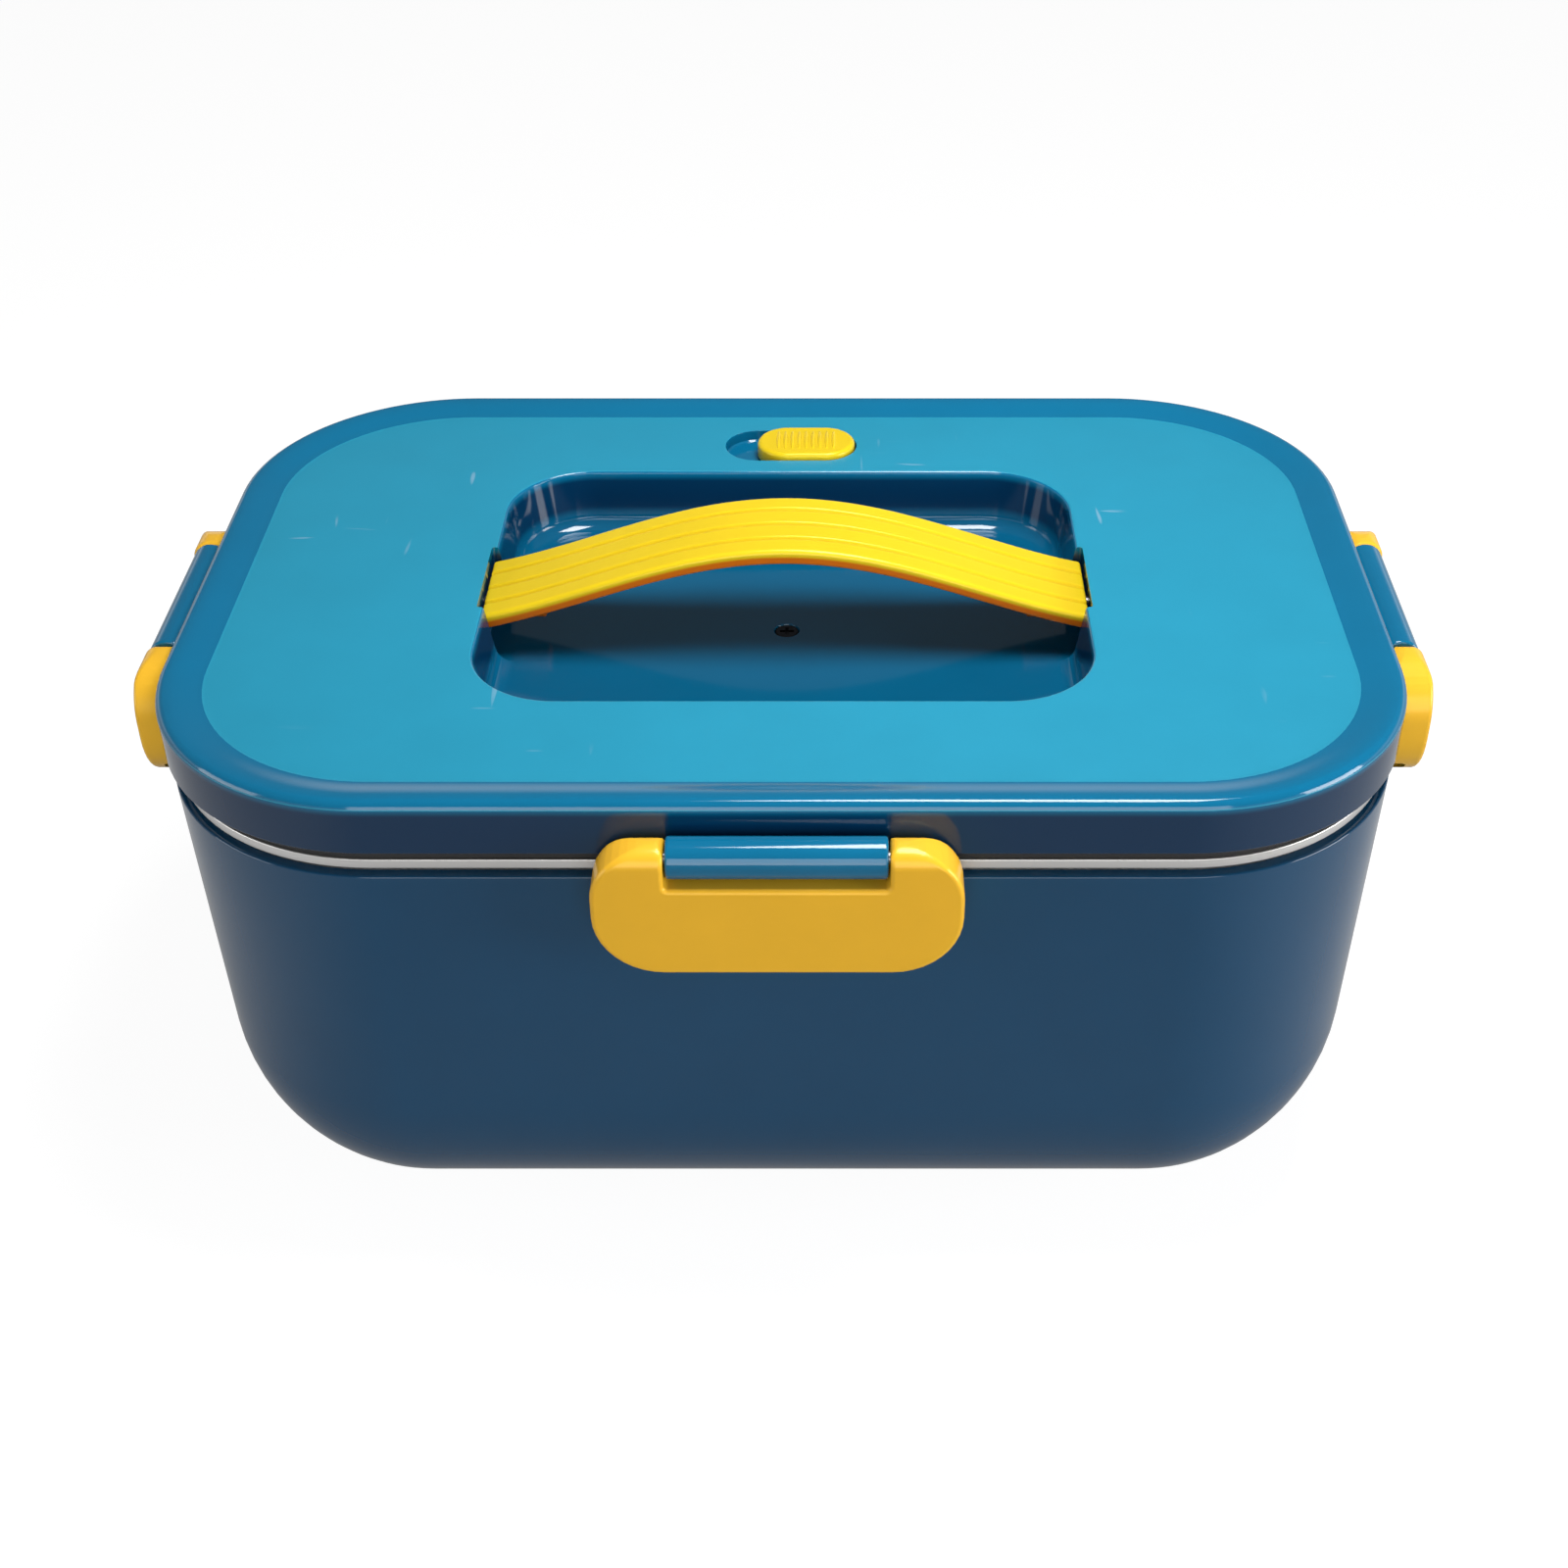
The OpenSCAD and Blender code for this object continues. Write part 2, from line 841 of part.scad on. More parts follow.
// Pockets in the recess's end walls for the strap's ends, grown on their outer sides.
module strap_pockets(grow, low, high) {
    inner = recess_w / 2 - recess_draft - recess_fillet;
    length = recess_w / 2 + handle_pocket + grow - inner;
    for (x = [-1, 1])
        translate([x > 0 ? inner : -inner - length, -pocket_half - grow, low])
            cube([length, 2 * (pocket_half + grow), high - low]);
}

module lid_barrel() {
    translate([0, -pin_out, pin_z]) {
        rod_x(barrel_r, -barrel_l / 2, barrel_l / 2);
        translate([-barrel_l / 2, 0, -web_half])
            cube([barrel_l, pin_out + lid_wall / 2, 2 * web_half]);
    }
}

module slot_plan(l, w) {
    plan(l / 2, w / 2, w / 2 - eps);
}

module lid_shell() {
    color(TEAL)
        difference() {
            union() {
                difference() {
                    lid_form();
                    slab(skirt_inset, skirt_z - cut, panel_z - lid_wall - skirt_z + cut);
                }
                band(
                    presser_inset,
                    presser_inset + presser_w,
                    flange_z + liner_flange_t,
                    panel_z - lid_wall / 2 - flange_z - liner_flange_t
                );
                translate([0, 0, recess_z - lid_wall])
                    linear_extrude(height = panel_z - lid_wall / 2 - recess_z + lid_wall)
                        plan(
                            recess_w / 2 + recess_wall,
                            recess_d / 2 + recess_wall,
                            recess_r + recess_wall
                        );
                strap_pockets(recess_wall, recess_z - lid_wall, panel_z - lid_wall / 2);
                for (x = [-1, 1])
                    translate([x * recess_w / 2, 0, handle_pivot_z])
                        rod_x(pivot_boss_d / 2, x > 0 ? 0 : -pivot_boss_l, x > 0 ? pivot_boss_l : 0);
                translate([0, slot_y, slot_z - slot_floor_t])
                    linear_extrude(height = slot_floor_t + slot_t - lid_wall / 2)
                        slot_plan(slot_l + 2 * lid_wall, slot_w + 2 * lid_wall);
                translate([steam_x, slot_y, liner_floor_z + liner_floor_t])
                    cylinder(d = chimney_d, h = slot_z - liner_floor_z - liner_floor_t, $fn = round_fn);
                for (side = [FRONT, RIGHT, REAR, LEFT])
                    at_side(side)
                        lid_barrel();
            }
            recess_form();
            strap_pockets(0, recess_z, panel_z + cut);
            translate([0, slot_y, slot_z])
                linear_extrude(height = slot_t + cut)
                    slot_plan(slot_l, slot_w);
            translate([steam_x, slot_y, liner_floor_z])
                cylinder(d = steam_d, h = lid_top - liner_floor_z, $fn = round_fn);
            translate([
                keel_x - keel_l / 2 - slider_travel - run,
                slot_y - keel_w / 2 - run,
                slot_z - slot_floor_t - cut
            ])
                cube([keel_l + slider_travel + 2 * run, keel_w + 2 * run, slot_floor_t + 2 * cut]);
            translate([0, 0, recess_z - lid_wall - cut])
                cylinder(d = lid_screw_d + 2 * slack, h = lid_wall + 2 * cut, $fn = round_fn);
            translate([0, 0, recess_z - lid_wall / 2])
                cylinder(d = lid_screw_head + 2 * slack, h = lid_wall, $fn = round_fn);
            for (x = [-1, 1])
                translate([0, 0, handle_pivot_z])
                    rod_x(
                        handle_pin_d / 2 + fit,
                        x > 0 ? handle_pin_start : -handle_pin_start - handle_pin_l,
                        x > 0 ? handle_pin_start + handle_pin_l : -handle_pin_start
                    );
            for (side = [FRONT, RIGHT, REAR, LEFT])
                at_side(side)
                    translate([0, -pin_out, pin_z])
                        rod_x(latch_pin_d / 2 + fit, -barrel_l / 2 - cut, barrel_l / 2 + cut);
        }
}

module lid_liner() {
    color(GREY)
        difference() {
            union() {
                slab(plug_inset, liner_floor_z, liner_floor_t);
                band(
                    plug_inset,
                    plug_inset + plug_wall,
                    liner_floor_z,
                    flange_z + liner_flange_t - liner_floor_z
                );
                band(liner_rim_inset, plug_inset + plug_wall, flange_z, liner_flange_t);
                translate([0, 0, recess_z - lid_wall - lid_boss_h])
                    cylinder(d = lid_boss_d, h = lid_boss_h, $fn = round_fn);
            }
            translate([0, 0, recess_z - lid_wall - lid_boss_h + boss_roof])
                cylinder(d = lid_screw_d + 2 * fit, h = lid_boss_h, $fn = round_fn);
            translate([steam_x, slot_y, liner_floor_z - cut])
                cylinder(d = steam_d, h = liner_floor_t + 2 * cut, $fn = round_fn);
        }
}

module lid_gasket() {
    color(DARK)
        band(gasket_inset, plug_inset - eps, gasket_z, gasket_h);
}

module lid_screw() {
    color(DARK)
        translate([0, 0, recess_z - lid_wall / 2]) {
            difference() {
                cylinder(d = lid_screw_head, h = lid_wall / 2 - slack, $fn = round_fn);
                translate([0, 0, slack])
                    for (turn = [0, 90])
                        rotate([0, 0, turn])
                            translate([-cross_l / 2, -cross_w / 2, 0])
                                cube([cross_l, cross_w, lid_wall]);
            }
            translate([0, 0, lid_wall / 2 - slack - lid_screw_l])
                cylinder(d = lid_screw_d, h = lid_screw_l - lid_wall / 2 + slack, $fn = round_fn);
        }
}

module handle_pins() {
    color(STEEL)
        translate([0, 0, handle_pivot_z])
            for (x = [-1, 1])
                rod_x(
                    handle_pin_d / 2,
                    x > 0 ? handle_pin_start + run : -handle_pin_start - handle_pin_l + run,
                    x > 0 ? handle_pin_start + handle_pin_l - run : -handle_pin_start - run
                );
}

module latch_pin(side) {
    color(STEEL)
        at_side(side)
            translate([0, -pin_out, pin_z])
                rod_x(latch_pin_d / 2, -latch_pin_half, latch_pin_half);
}

// ---- Vent ----

module vent_slider() {
    color(YELLOW)
        difference() {
            union() {
                translate([slider_x, slot_y, slot_z + seat])
                    linear_extrude(height = slider_top - slot_z - seat)
                        slot_plan(slider_l, slider_w);
                for (k = [0:rib_count - 1])
                    translate([
                        slider_x + (k - (rib_count - 1) / 2) * rib_pitch - rib_w / 2,
                        slot_y - slider_w / 3,
                        slider_top - eps
                    ])
                        cube([rib_w, slider_w * 2 / 3, rib_h]);
                translate([keel_x - keel_l / 2, slot_y - keel_w / 2, keel_z])
                    cube([keel_l, keel_w, slot_floor_t + keel_foot_t + 2 * seat + cut]);
                translate([keel_x - keel_l / 2, slot_y - keel_foot_w / 2, keel_z])
                    cube([keel_l, keel_foot_w, keel_foot_t]);
            }
            translate([steam_x, slot_y, slot_z])
                cylinder(d = seal_d + 2 * fit, h = seal_t + seat, $fn = round_fn);
        }
}

module vent_seal() {
    color(DARK)
        translate([steam_x, slot_y, slot_z + seat])
            cylinder(d = seal_d, h = seal_t, $fn = round_fn);
}

// ---- Handle ----

function strap_top(x) = lid_top + handle_rise - handle_drop * (1 - cos(180 * x / handle_wave)) / 2;

// Side view of the strap between two depths below its upper face.
module strap_side(from, to) {
    xs = [for (k = [0:handle_steps]) handle_half * (2 * k / handle_steps - 1)];
    upper = [for (x = xs) [x, strap_top(x) - from]];
    lower = [for (k = [handle_steps:-1:0]) [xs[k], strap_top(xs[k]) - to]];
    polygon(concat(upper, lower));
}

module strap_layer(from, to, y, w) {
    translate([0, y + w / 2, 0])
        rotate([90, 0, 0])
            linear_extrude(height = w)
                strap_side(from, to);
}

module handle() {
    land = (handle_w - (lands - 1) * groove_w) / lands;
    color(YELLOW)
        difference() {
            union() {
                strap_layer(groove_t, handle_t, 0, handle_w);
                for (k = [0:lands - 1])
                    strap_layer(0, handle_t, (k - (lands - 1) / 2) * (land + groove_w), land);
                for (x = [-1, 1])
                    translate([0, 0, handle_pivot_z])
                        rod_x(
                            knuckle_r,
                            x > 0 ? knuckle_end - knuckle_l : -knuckle_end,
                            x > 0 ? knuckle_end : -knuckle_end + knuckle_l
                        );
            }
            for (x = [-1, 1])
                translate([0, 0, handle_pivot_z])
                    rod_x(
                        handle_pin_d / 2 + fit,
                        x > 0 ? handle_pin_start : -handle_half - cut,
                        x > 0 ? handle_half + cut : -handle_pin_start
                    );
        }
}

// ---- Latches ----

// Front view, from the pin's height down.
module latch_outline() {
    half = latch_w / 2;
    top_r = latch_ear_r;
    difference() {
        union() {
            translate([-half + latch_r, -latch_reach])
                square([latch_w - 2 * latch_r, latch_reach]);
            translate([-half, -latch_reach + latch_r])
                square([latch_w, latch_reach - latch_r - top_r + ear_r]);
            translate([-half + top_r, 0])
                square([latch_w - 2 * top_r, ear_r]);
            for (x = [-1, 1]) {
                translate([x * (half - latch_r), -latch_reach + latch_r])
                    circle(r = latch_r, $fn = round_fn);
                translate([x * (half - top_r), ear_r - top_r])
                    circle(r = top_r, $fn = round_fn);
            }
        }
        translate([-notch_half, notch_z])
            square([2 * notch_half, ear_r - notch_z + cut]);
    }
}

// Side view: round at the pin, straight below it.
module latch_side() {
    circle(r = ear_r, $fn = round_fn);
    translate([-ear_out, 0])
        circle(r = ear_r, $fn = round_fn);
    translate([-ear_out, -ear_r])
        square([ear_out, 2 * ear_r]);
    translate([-latch_face, -latch_reach])
        square([latch_face + latch_back, latch_reach]);
}

module latch_body() {
    difference() {
        intersection() {
            rotate([90, 0, 0])
                linear_extrude(height = 4 * latch_face, center = true)
                    latch_outline();
            rotate([90, 0, 90])
                linear_extrude(height = latch_w + 2 * cut, center = true)
                    latch_side();
        }
        translate([0, latch_back + cut, 0])
            rotate([90, 0, 0])
                linear_extrude(height = latch_back + cut + latch_face - latch_plate)
                    latch_hollow();
        rod_x(latch_pin_d / 2 + fit, -latch_pin_half - run, latch_pin_half + run);
    }
    translate([-hook_half, -latch_face + latch_plate - eps, -latch_reach + latch_rim - eps])
        cube([2 * hook_half, hook_tip + latch_face - latch_plate + eps, hook_h + eps]);
}

// The hollow behind a latch's face, between its rim walls.
module latch_hollow() {
    half = latch_w / 2 - latch_rim;
    low = -latch_reach + latch_rim;
    high = notch_z - latch_rim;
    translate([0, (low + high) / 2])
        plan(half, (high - low) / 2, latch_top_r);
}

module latch(side) {
    color(YELLOW)
        at_side(side)
            translate([0, -pin_out, pin_z])
                latch_body();
}

housing_shell();
housing_liner();
base_cover();
base_screws();
rubber_feet();
heater_plate();
ptc_heaters();
heater_bracket();
bracket_screws();
insulation_pad();
thermostat();
thermal_fuse();
ac_inlet();
inlet_pins();
indicator_lens();
indicator_lamp();
live_lead();
neutral_lead();
lamp_lead();
food_container();
lid_shell();
lid_liner();
lid_gasket();
lid_screw();
handle_pins();
latch_pin(FRONT);  // latch_pin_front
latch_pin(RIGHT);  // latch_pin_right
latch_pin(REAR);  // latch_pin_rear
latch_pin(LEFT);  // latch_pin_left
vent_slider();
vent_seal();
handle();
latch(FRONT);  // latch_front
latch(RIGHT);  // latch_right
latch(REAR);  // latch_rear
latch(LEFT);  // latch_left
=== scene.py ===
"""Finish of an electric lunch box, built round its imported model: metres, +X right, +Y back, +Z up."""

import math

import bmesh
import bpy
import numpy as np
from bpy.props import FloatProperty, FloatVectorProperty, PointerProperty
from bpy.types import Operator, Panel, PropertyGroup
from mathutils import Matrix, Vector


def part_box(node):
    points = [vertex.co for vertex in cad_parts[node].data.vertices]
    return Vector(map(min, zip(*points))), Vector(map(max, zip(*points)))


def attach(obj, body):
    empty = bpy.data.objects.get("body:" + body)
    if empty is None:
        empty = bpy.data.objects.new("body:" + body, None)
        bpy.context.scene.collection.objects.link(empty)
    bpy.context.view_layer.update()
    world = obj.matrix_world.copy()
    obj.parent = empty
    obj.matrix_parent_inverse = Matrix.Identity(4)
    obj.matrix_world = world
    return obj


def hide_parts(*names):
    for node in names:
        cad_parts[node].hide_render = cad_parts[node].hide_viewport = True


bl_info = {
    "name": "Electric Lunch Box",
    "version": (1, 0, 0),
    "blender": (4, 5, 0),
    "location": "3D View > Sidebar > Lunch Box",
    "description": "Builds the visible shells, container, latches and stage of an electric lunch box",
    "category": "Object",
}

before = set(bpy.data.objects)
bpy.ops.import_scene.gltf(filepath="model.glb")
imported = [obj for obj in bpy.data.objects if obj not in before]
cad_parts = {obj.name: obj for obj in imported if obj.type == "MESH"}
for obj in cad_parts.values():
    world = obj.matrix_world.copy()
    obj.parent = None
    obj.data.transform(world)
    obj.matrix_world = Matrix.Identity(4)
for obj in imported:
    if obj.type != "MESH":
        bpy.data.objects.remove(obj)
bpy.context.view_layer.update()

MM = 0.001
CORNER_STEPS = 24   # facets in one rounded corner
SIDES = ("front", "right", "rear", "left")
SHARP = math.radians(38)


def size(label, default, what):
    """A length property in millimetres."""
    return FloatProperty(name=label, description=what, default=default, min=0.0)


def tint(label, default, what):
    """A linear colour property."""
    return FloatVectorProperty(
        name=label, description=what, default=default, subtype="COLOR", size=3, min=0.0, max=1.0
    )


class LunchBoxSizes(PropertyGroup):
    """Sizes of the shells in millimetres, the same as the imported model's."""

    lid_half_w: size("Lid half width", 115.0, "Half the lid's width across its skirt")
    lid_half_d: size("Lid half depth", 78.0, "Half the lid's depth across its skirt")
    corner_r: size("Corner radius", 44.0, "Corner radius of the lid in plan")
    lid_top: size("Lid top", 118.0, "Height of the lid's rim")
    skirt_z: size("Skirt bottom", 107.0, "Height of the skirt's lower edge")
    band_w: size("Rim band", 7.0, "Width of the sloping band inside the rim")
    band_rise: size("Band rise", 1.5, "Rise of the rim above the flat top")
    lid_edge_r: size("Lid edge radius", 2.0, "Radius of the lid's outer edge")
    recess_half_w: size("Recess half width", 58.3, "Half the hand recess's width")
    recess_half_d: size("Recess half depth", 44.0, "Half the hand recess's depth")
    recess_r: size("Recess corner radius", 17.0, "Corner radius of the hand recess")
    recess_z: size("Recess floor", 104.0, "Height of the recess floor")
    recess_lean: size("Recess lean", 1.9, "How far the recess walls lean in from top to floor")
    recess_fillet: size("Recess fillet", 3.0, "Radius between the recess walls and floor")
    housing_step: size("Housing step", 1.0, "How far the housing sits inside the lid's skirt")
    housing_top: size("Housing top", 101.5, "Height of the housing's top edge")
    housing_wall: size("Housing wall", 2.4, "Thickness of the housing's wall")
    housing_draft: size("Housing draft", 2.0, "Inward lean of the housing's walls in degrees")
    base_fillet: size("Base fillet", 42.0, "Radius that rolls the walls into the base")
    base_z: size("Base height", 2.0, "Height of the housing's underside")
    base_half_w: size("Base cover half width", 62.0, "Half the base cover's width")
    base_half_d: size("Base cover half depth", 27.0, "Half the base cover's depth")
    rim_top: size("Rim top", 104.35, "Height of the steel rim's top")
    rim_h: size("Rim height", 1.9, "Height of the rolled steel rim")
    container_depth: size("Container depth", 70.0, "Depth of the container below its rim")
    container_fillet: size("Container fillet", 12.0, "Radius at the container's bottom edge")
    container_wall: size("Container wall", 0.8, "Sheet thickness of the container")
    pocket: size("Strap pocket", 1.4, "Depth of the pocket that takes each end of the strap")
    handle_w: size("Handle width", 21.7, "Width of the handle strap")
    handle_t: size("Handle thickness", 3.2, "Thickness of the handle strap")
    handle_rise: size("Handle rise", 10.5, "Height of the handle's crown above the rim")
    pivot_z: size("Handle pivot", 110.6, "Height of the handle's pins")
    slot_y: size("Vent slot place", 56.5, "Distance of the vent slot behind the centre")
    pin_z: size("Latch pin height", 109.5, "Height of the latches' pins")
    pin_out: size("Latch pin reach", 3.8, "Distance of the latches' pins outside the skirt")
    latch_w: size("Latch width", 64.0, "Width of a latch")
    latch_reach: size("Latch reach", 22.5, "Reach of a latch below its pin")


class LunchBoxColours(PropertyGroup):
    """Base colours of the finishes; some are lit or shaded copies of one plastic, that is painted light and
    shade.
    """

    teal: tint("Shell", (0.002, 0.145, 0.285), "Glossy plastic of the housing and lid")
    # Painted light: a lighter copy of the teal with a painted sheen, for the lid's flat top.
    satin: tint("Lid panel", (0.014, 0.275, 0.425), "Satin plastic of the lid's flat top")
    # Painted shade: a darker copy of the teal, for the housing's sides.
    shaded_teal: tint("Sides", (0.003, 0.058, 0.138), "Deeper tone of the housing")
    # Painted shade: the darkest copy of the teal, for the lid's skirt and recess walls.
    wall: tint("Lid's walls", (0.001, 0.028, 0.080), "Deepest tone, of the lid's skirt and recess walls")
    # Painted shade in part: a more orange copy of the strap's yellow, for the latches' shaded faces.
    yellow: tint("Trim", (0.930, 0.510, 0.032), "Glossy plastic of the latches")
    strap: tint("Strap", (0.770, 0.550, 0.012), "Glossy plastic of the handle's strap and the slider")
    # Painted shade: a deeper orange on the strap's lower half, where light does not reach.
    strap_shade: tint("Strap's underside", (0.640, 0.140, 0.003), "Deeper tone of the strap's lower half")
    liner: tint("Liner", (0.560, 0.560, 0.540), "Satin plastic of the well and the lid's liner")
    steel: tint("Steel", (0.860, 0.840, 0.810), "Brushed stainless steel")
    dark: tint("Rubber", (0.012, 0.012, 0.013), "Silicone and rubber")
    floor: tint("Floor", (0.200, 0.200, 0.200), "Studio floor, under the white it is seen as")


def settings(context):
    """The scene's sizes and colours."""
    return context.scene.lunchbox_sizes, context.scene.lunchbox_colours


# ---- Surfaces ----

def quarter(steps):
    """Angles of a quarter turn."""
    return np.linspace(0.0, math.pi / 2, steps)


def rounding(radius, steps=5):
    """Rounded edge as (inset, drop) pairs: radius (1 - cos a) and radius (1 - sin a)."""
    a = quarter(steps)
    return radius * np.stack([1 - np.cos(a), 1 - np.sin(a)], 1)


def plan_ring(w, d, r, z):
    """Ring round a rounded rectangle: corner centre (+-(w-r), +-(d-r)) plus r (cos a, sin a)."""
    a = quarter(CORNER_STEPS + 1)
    signs = ((1, 1), (-1, 1), (-1, -1), (1, -1))
    corners = [
        np.stack([
            sx * (w - r) + r * np.cos(a + k * math.pi / 2),
            sy * (d - r) + r * np.sin(a + k * math.pi / 2),
            np.full_like(a, z),
        ], 1)
        for k, (sx, sy) in enumerate(signs)
    ]
    return np.concatenate(corners)


def plan_rings(rows):
    """Stack of plan rings, one for each (w, d, r, z)."""
    return np.array([plan_ring(*row) for row in rows])


def inset_rows(w, d, r, pairs, least=2.0):
    """Rows of plan rings inside half sizes w and d, one for each (inset, z) pair."""
    return [(w - inset, d - inset, max(r - inset, least), z) for inset, z in pairs]


def skin(rings, loop=False):
    """Closed surface through a stack of rings: quads between neighbours, a face over each open end."""
    m, n, _ = rings.shape
    k = np.arange(m if loop else m - 1)[:, None]
    i = np.arange(n)[None, :]
    j = (i + 1) % n
    up = (k + 1) % m
    quads = np.stack([k * n + i, k * n + j, up * n + j, up * n + i], -1).reshape(-1, 4)
    faces = quads.tolist()
    if not loop:
        faces.append(list(range(n))[::-1])
        faces.append(list(range((m - 1) * n, m * n)))
    return face_out(rings.reshape(-1, 3), faces)


def face_out(points, faces):
    """Turns every face round when the signed volume, a sixth of the sum of a . (b x c), is negative."""
    fans = np.array([(f[0], f[k], f[k + 1]) for f in faces for k in range(1, len(f) - 1)])
    a, b, c = (points[fans[:, k]] for k in range(3))
    if np.einsum("ij,ij->i", a, np.cross(b, c)).sum() < 0:
        faces = [f[::-1] for f in faces]
    return points, faces


def joined(*shapes):
    """One shape from several."""
    points, faces, start = [], [], 0
    for some, theirs in shapes:
        points.append(some)
        faces += [[v + start for v in f] for f in theirs]
        start += len(some)
    return np.concatenate(points), faces


def spun(radii, heights, steps):
    """Rings round the Z axis: (radius cos a, radius sin a, height) for each radius and height."""
    a = np.linspace(0.0, 2 * math.pi, steps, endpoint=False)
    x, y = np.outer(radii, np.cos(a)), np.outer(radii, np.sin(a))
    return np.stack([x, y, np.broadcast_to(np.array(heights)[:, None], x.shape)], -1)


def rod(r, start, end, bevel=0.3, steps=32):
    """Rod along X: circles of radius r, drawn in at each end by a rounding of radius bevel."""
    along, drawn_in = rounding(bevel).T
    lead = start + along
    x = np.concatenate([lead, (start + end) - lead[::-1]])
    radii = r - np.concatenate([drawn_in, drawn_in[::-1]])
    return skin(np.roll(spun(radii, x, steps), 1, axis=-1))


def block(low, high, bevel=0.4):
    """Box with rounded upright and level edges: plan rings, drawn in by a rounding at both ends."""
    low, high = np.array(low, float), np.array(high, float)
    w, d = (high - low)[:2] / 2
    edge = rounding(bevel)
    pairs = [(i, low[2] + rise) for rise, i in edge] + [(i, high[2] - fall) for fall, i in edge[::-1]]
    rings = plan_rings(inset_rows(w, d, 2 * bevel, pairs, bevel))
    rings[..., :2] += (low + high)[:2] / 2
    return skin(rings)


def stadium(half_l, half_w, pairs, centre):
    """Stadium-shaped solid: plan rings whose corner radius is their half width, at (inset, z) pairs."""
    sliver = 0.01   # keeps the ends' arcs apart
    rings = plan_rings(inset_rows(half_l, half_w, half_w - sliver, pairs))
    rings[..., :2] += centre
    return skin(rings)


def turned(shape, side, reach):
    """Moves a shape drawn for the front, with its outside towards -Y, to a side: a turn by 90 degrees."""
    points, faces = shape
    a = SIDES.index(side) * math.pi / 2
    x, y = points[:, 0], points[:, 1] - reach
    return np.stack([
        x * math.cos(a) - y * math.sin(a),
        x * math.sin(a) + y * math.cos(a),
        points[:, 2],
    ], 1), faces


def lid_plan(s, inset=0.0):
    """Half sizes and corner radius of the lid's outline, drawn in by inset."""
    return s.lid_half_w - inset, s.lid_half_d - inset, s.corner_r - inset


def reach_of(s, side):
    """Distance from the centre to the lid's skirt on a side."""
    return s.lid_half_d if side in ("front", "rear") else s.lid_half_w


def moved(shape, offset):
    """Shape shifted by offset."""
    return shape[0] + np.array(offset), shape[1]


# ---- Objects ----

def new_object(name, shape):
    """Object at the origin with the shape's millimetres as metres in its mesh, and smooth faces."""
    points, faces = shape
    mesh = bpy.data.meshes.new(name)
    mesh.from_pydata((points * MM).tolist(), [], faces)
    mesh.polygons.foreach_set("use_smooth", np.ones(len(mesh.polygons), bool))
    mesh.update()
    obj = bpy.data.objects.new(name, mesh)
    bpy.context.scene.collection.objects.link(obj)
    return obj


def carve(obj, *shapes):
    """Cuts shapes out of an object with exact booleans, and keeps the result as its mesh."""
    cutters = [new_object("cutter", shape) for shape in shapes]
    for cutter in cutters:
        step = obj.modifiers.new("cut", "BOOLEAN")
        step.operation = "DIFFERENCE"
        step.solver = "EXACT"
        step.object = cutter
    depsgraph = bpy.context.evaluated_depsgraph_get()
    result = bpy.data.meshes.new_from_object(obj.evaluated_get(depsgraph))
    obj.modifiers.clear()
    obj.data = result
    for cutter in cutters:
        bpy.data.objects.remove(cutter)


def mesh_points(mesh):
    """Places of a mesh's vertices, in millimetres."""
    flat = np.empty(len(mesh.vertices) * 3)
    mesh.vertices.foreach_get("co", flat)
    return flat.reshape(-1, 3) / MM


def add_islands(obj, *shapes):
    """Adds closed shapes to an object's mesh."""
    extra = new_object("extra", joined(*shapes))
    mesh = bmesh.new()
    mesh.from_mesh(obj.data)
    mesh.from_mesh(extra.data)
    mesh.to_mesh(obj.data)
    mesh.free()
    bpy.data.objects.remove(extra)


def finish_piece(obj, body, slot, material, *nodes):
    """Gives a piece its finish, sharp edges, even normals, body and the nodes it stands for."""
    mesh = obj.data
    mesh.materials.clear()
    mesh.materials.append(material)
    mesh.polygons.foreach_set("use_smooth", np.ones(len(mesh.polygons), bool))
    mesh.set_sharp_from_angle(angle=SHARP)
    normals = obj.modifiers.new("even normals", "WEIGHTED_NORMAL")
    normals.mode = "FACE_AREA"
    normals.keep_sharp = True
    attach(obj, body)
    if nodes:
        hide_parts(*nodes)


def dress(material, *nodes):
    """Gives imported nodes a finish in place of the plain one."""
    for node in nodes:
        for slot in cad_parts[node].material_slots:
            slot.material = material


# ---- Node groups ----

def set_inputs(tree, node, values):
    """Gives a node's inputs their values: another node's output, a number, a vector or a colour."""
    for label, value in values.items():
        socket = node.inputs[label]
        if isinstance(value, bpy.types.NodeSocket):
            tree.links.new(value, socket)
        elif socket.type == "RGBA":
            socket.default_value = (*value, 1.0)
        else:
            socket.default_value = value


def add_node(tree, kind, values, **choices):
    """Shader node of a kind, with its choices and its inputs' values."""
    node = tree.nodes.new("ShaderNode" + kind)
    for name, choice in choices.items():
        setattr(node, name, choice)
    set_inputs(tree, node, values)
    return node


def math_node(tree, operation, first, second=0.0):
    """Result of a Math node whose inputs are sockets or numbers."""
    return add_node(tree, "Math", {0: first, 1: second}, operation=operation).outputs[0]


def times(tree, first, *others):
    """Product of sockets and numbers."""
    for value in others:
        first = math_node(tree, "MULTIPLY", first, value)
    return first


def less(tree, first, second):
    """First number less the second."""
    return math_node(tree, "SUBTRACT", first, second)


def mixed(tree, factor, first, second):
    """Colour between two colours or colour sockets by a factor socket."""
    return add_node(tree, "Mix", {"Factor": factor, 6: first, 7: second}, data_type="RGBA").outputs[2]


def between(tree, factor, low, high):
    """Number that runs from low to high with a factor socket."""
    return add_node(tree, "MapRange", {"Value": factor, "To Min": low, "To Max": high}).outputs[0]


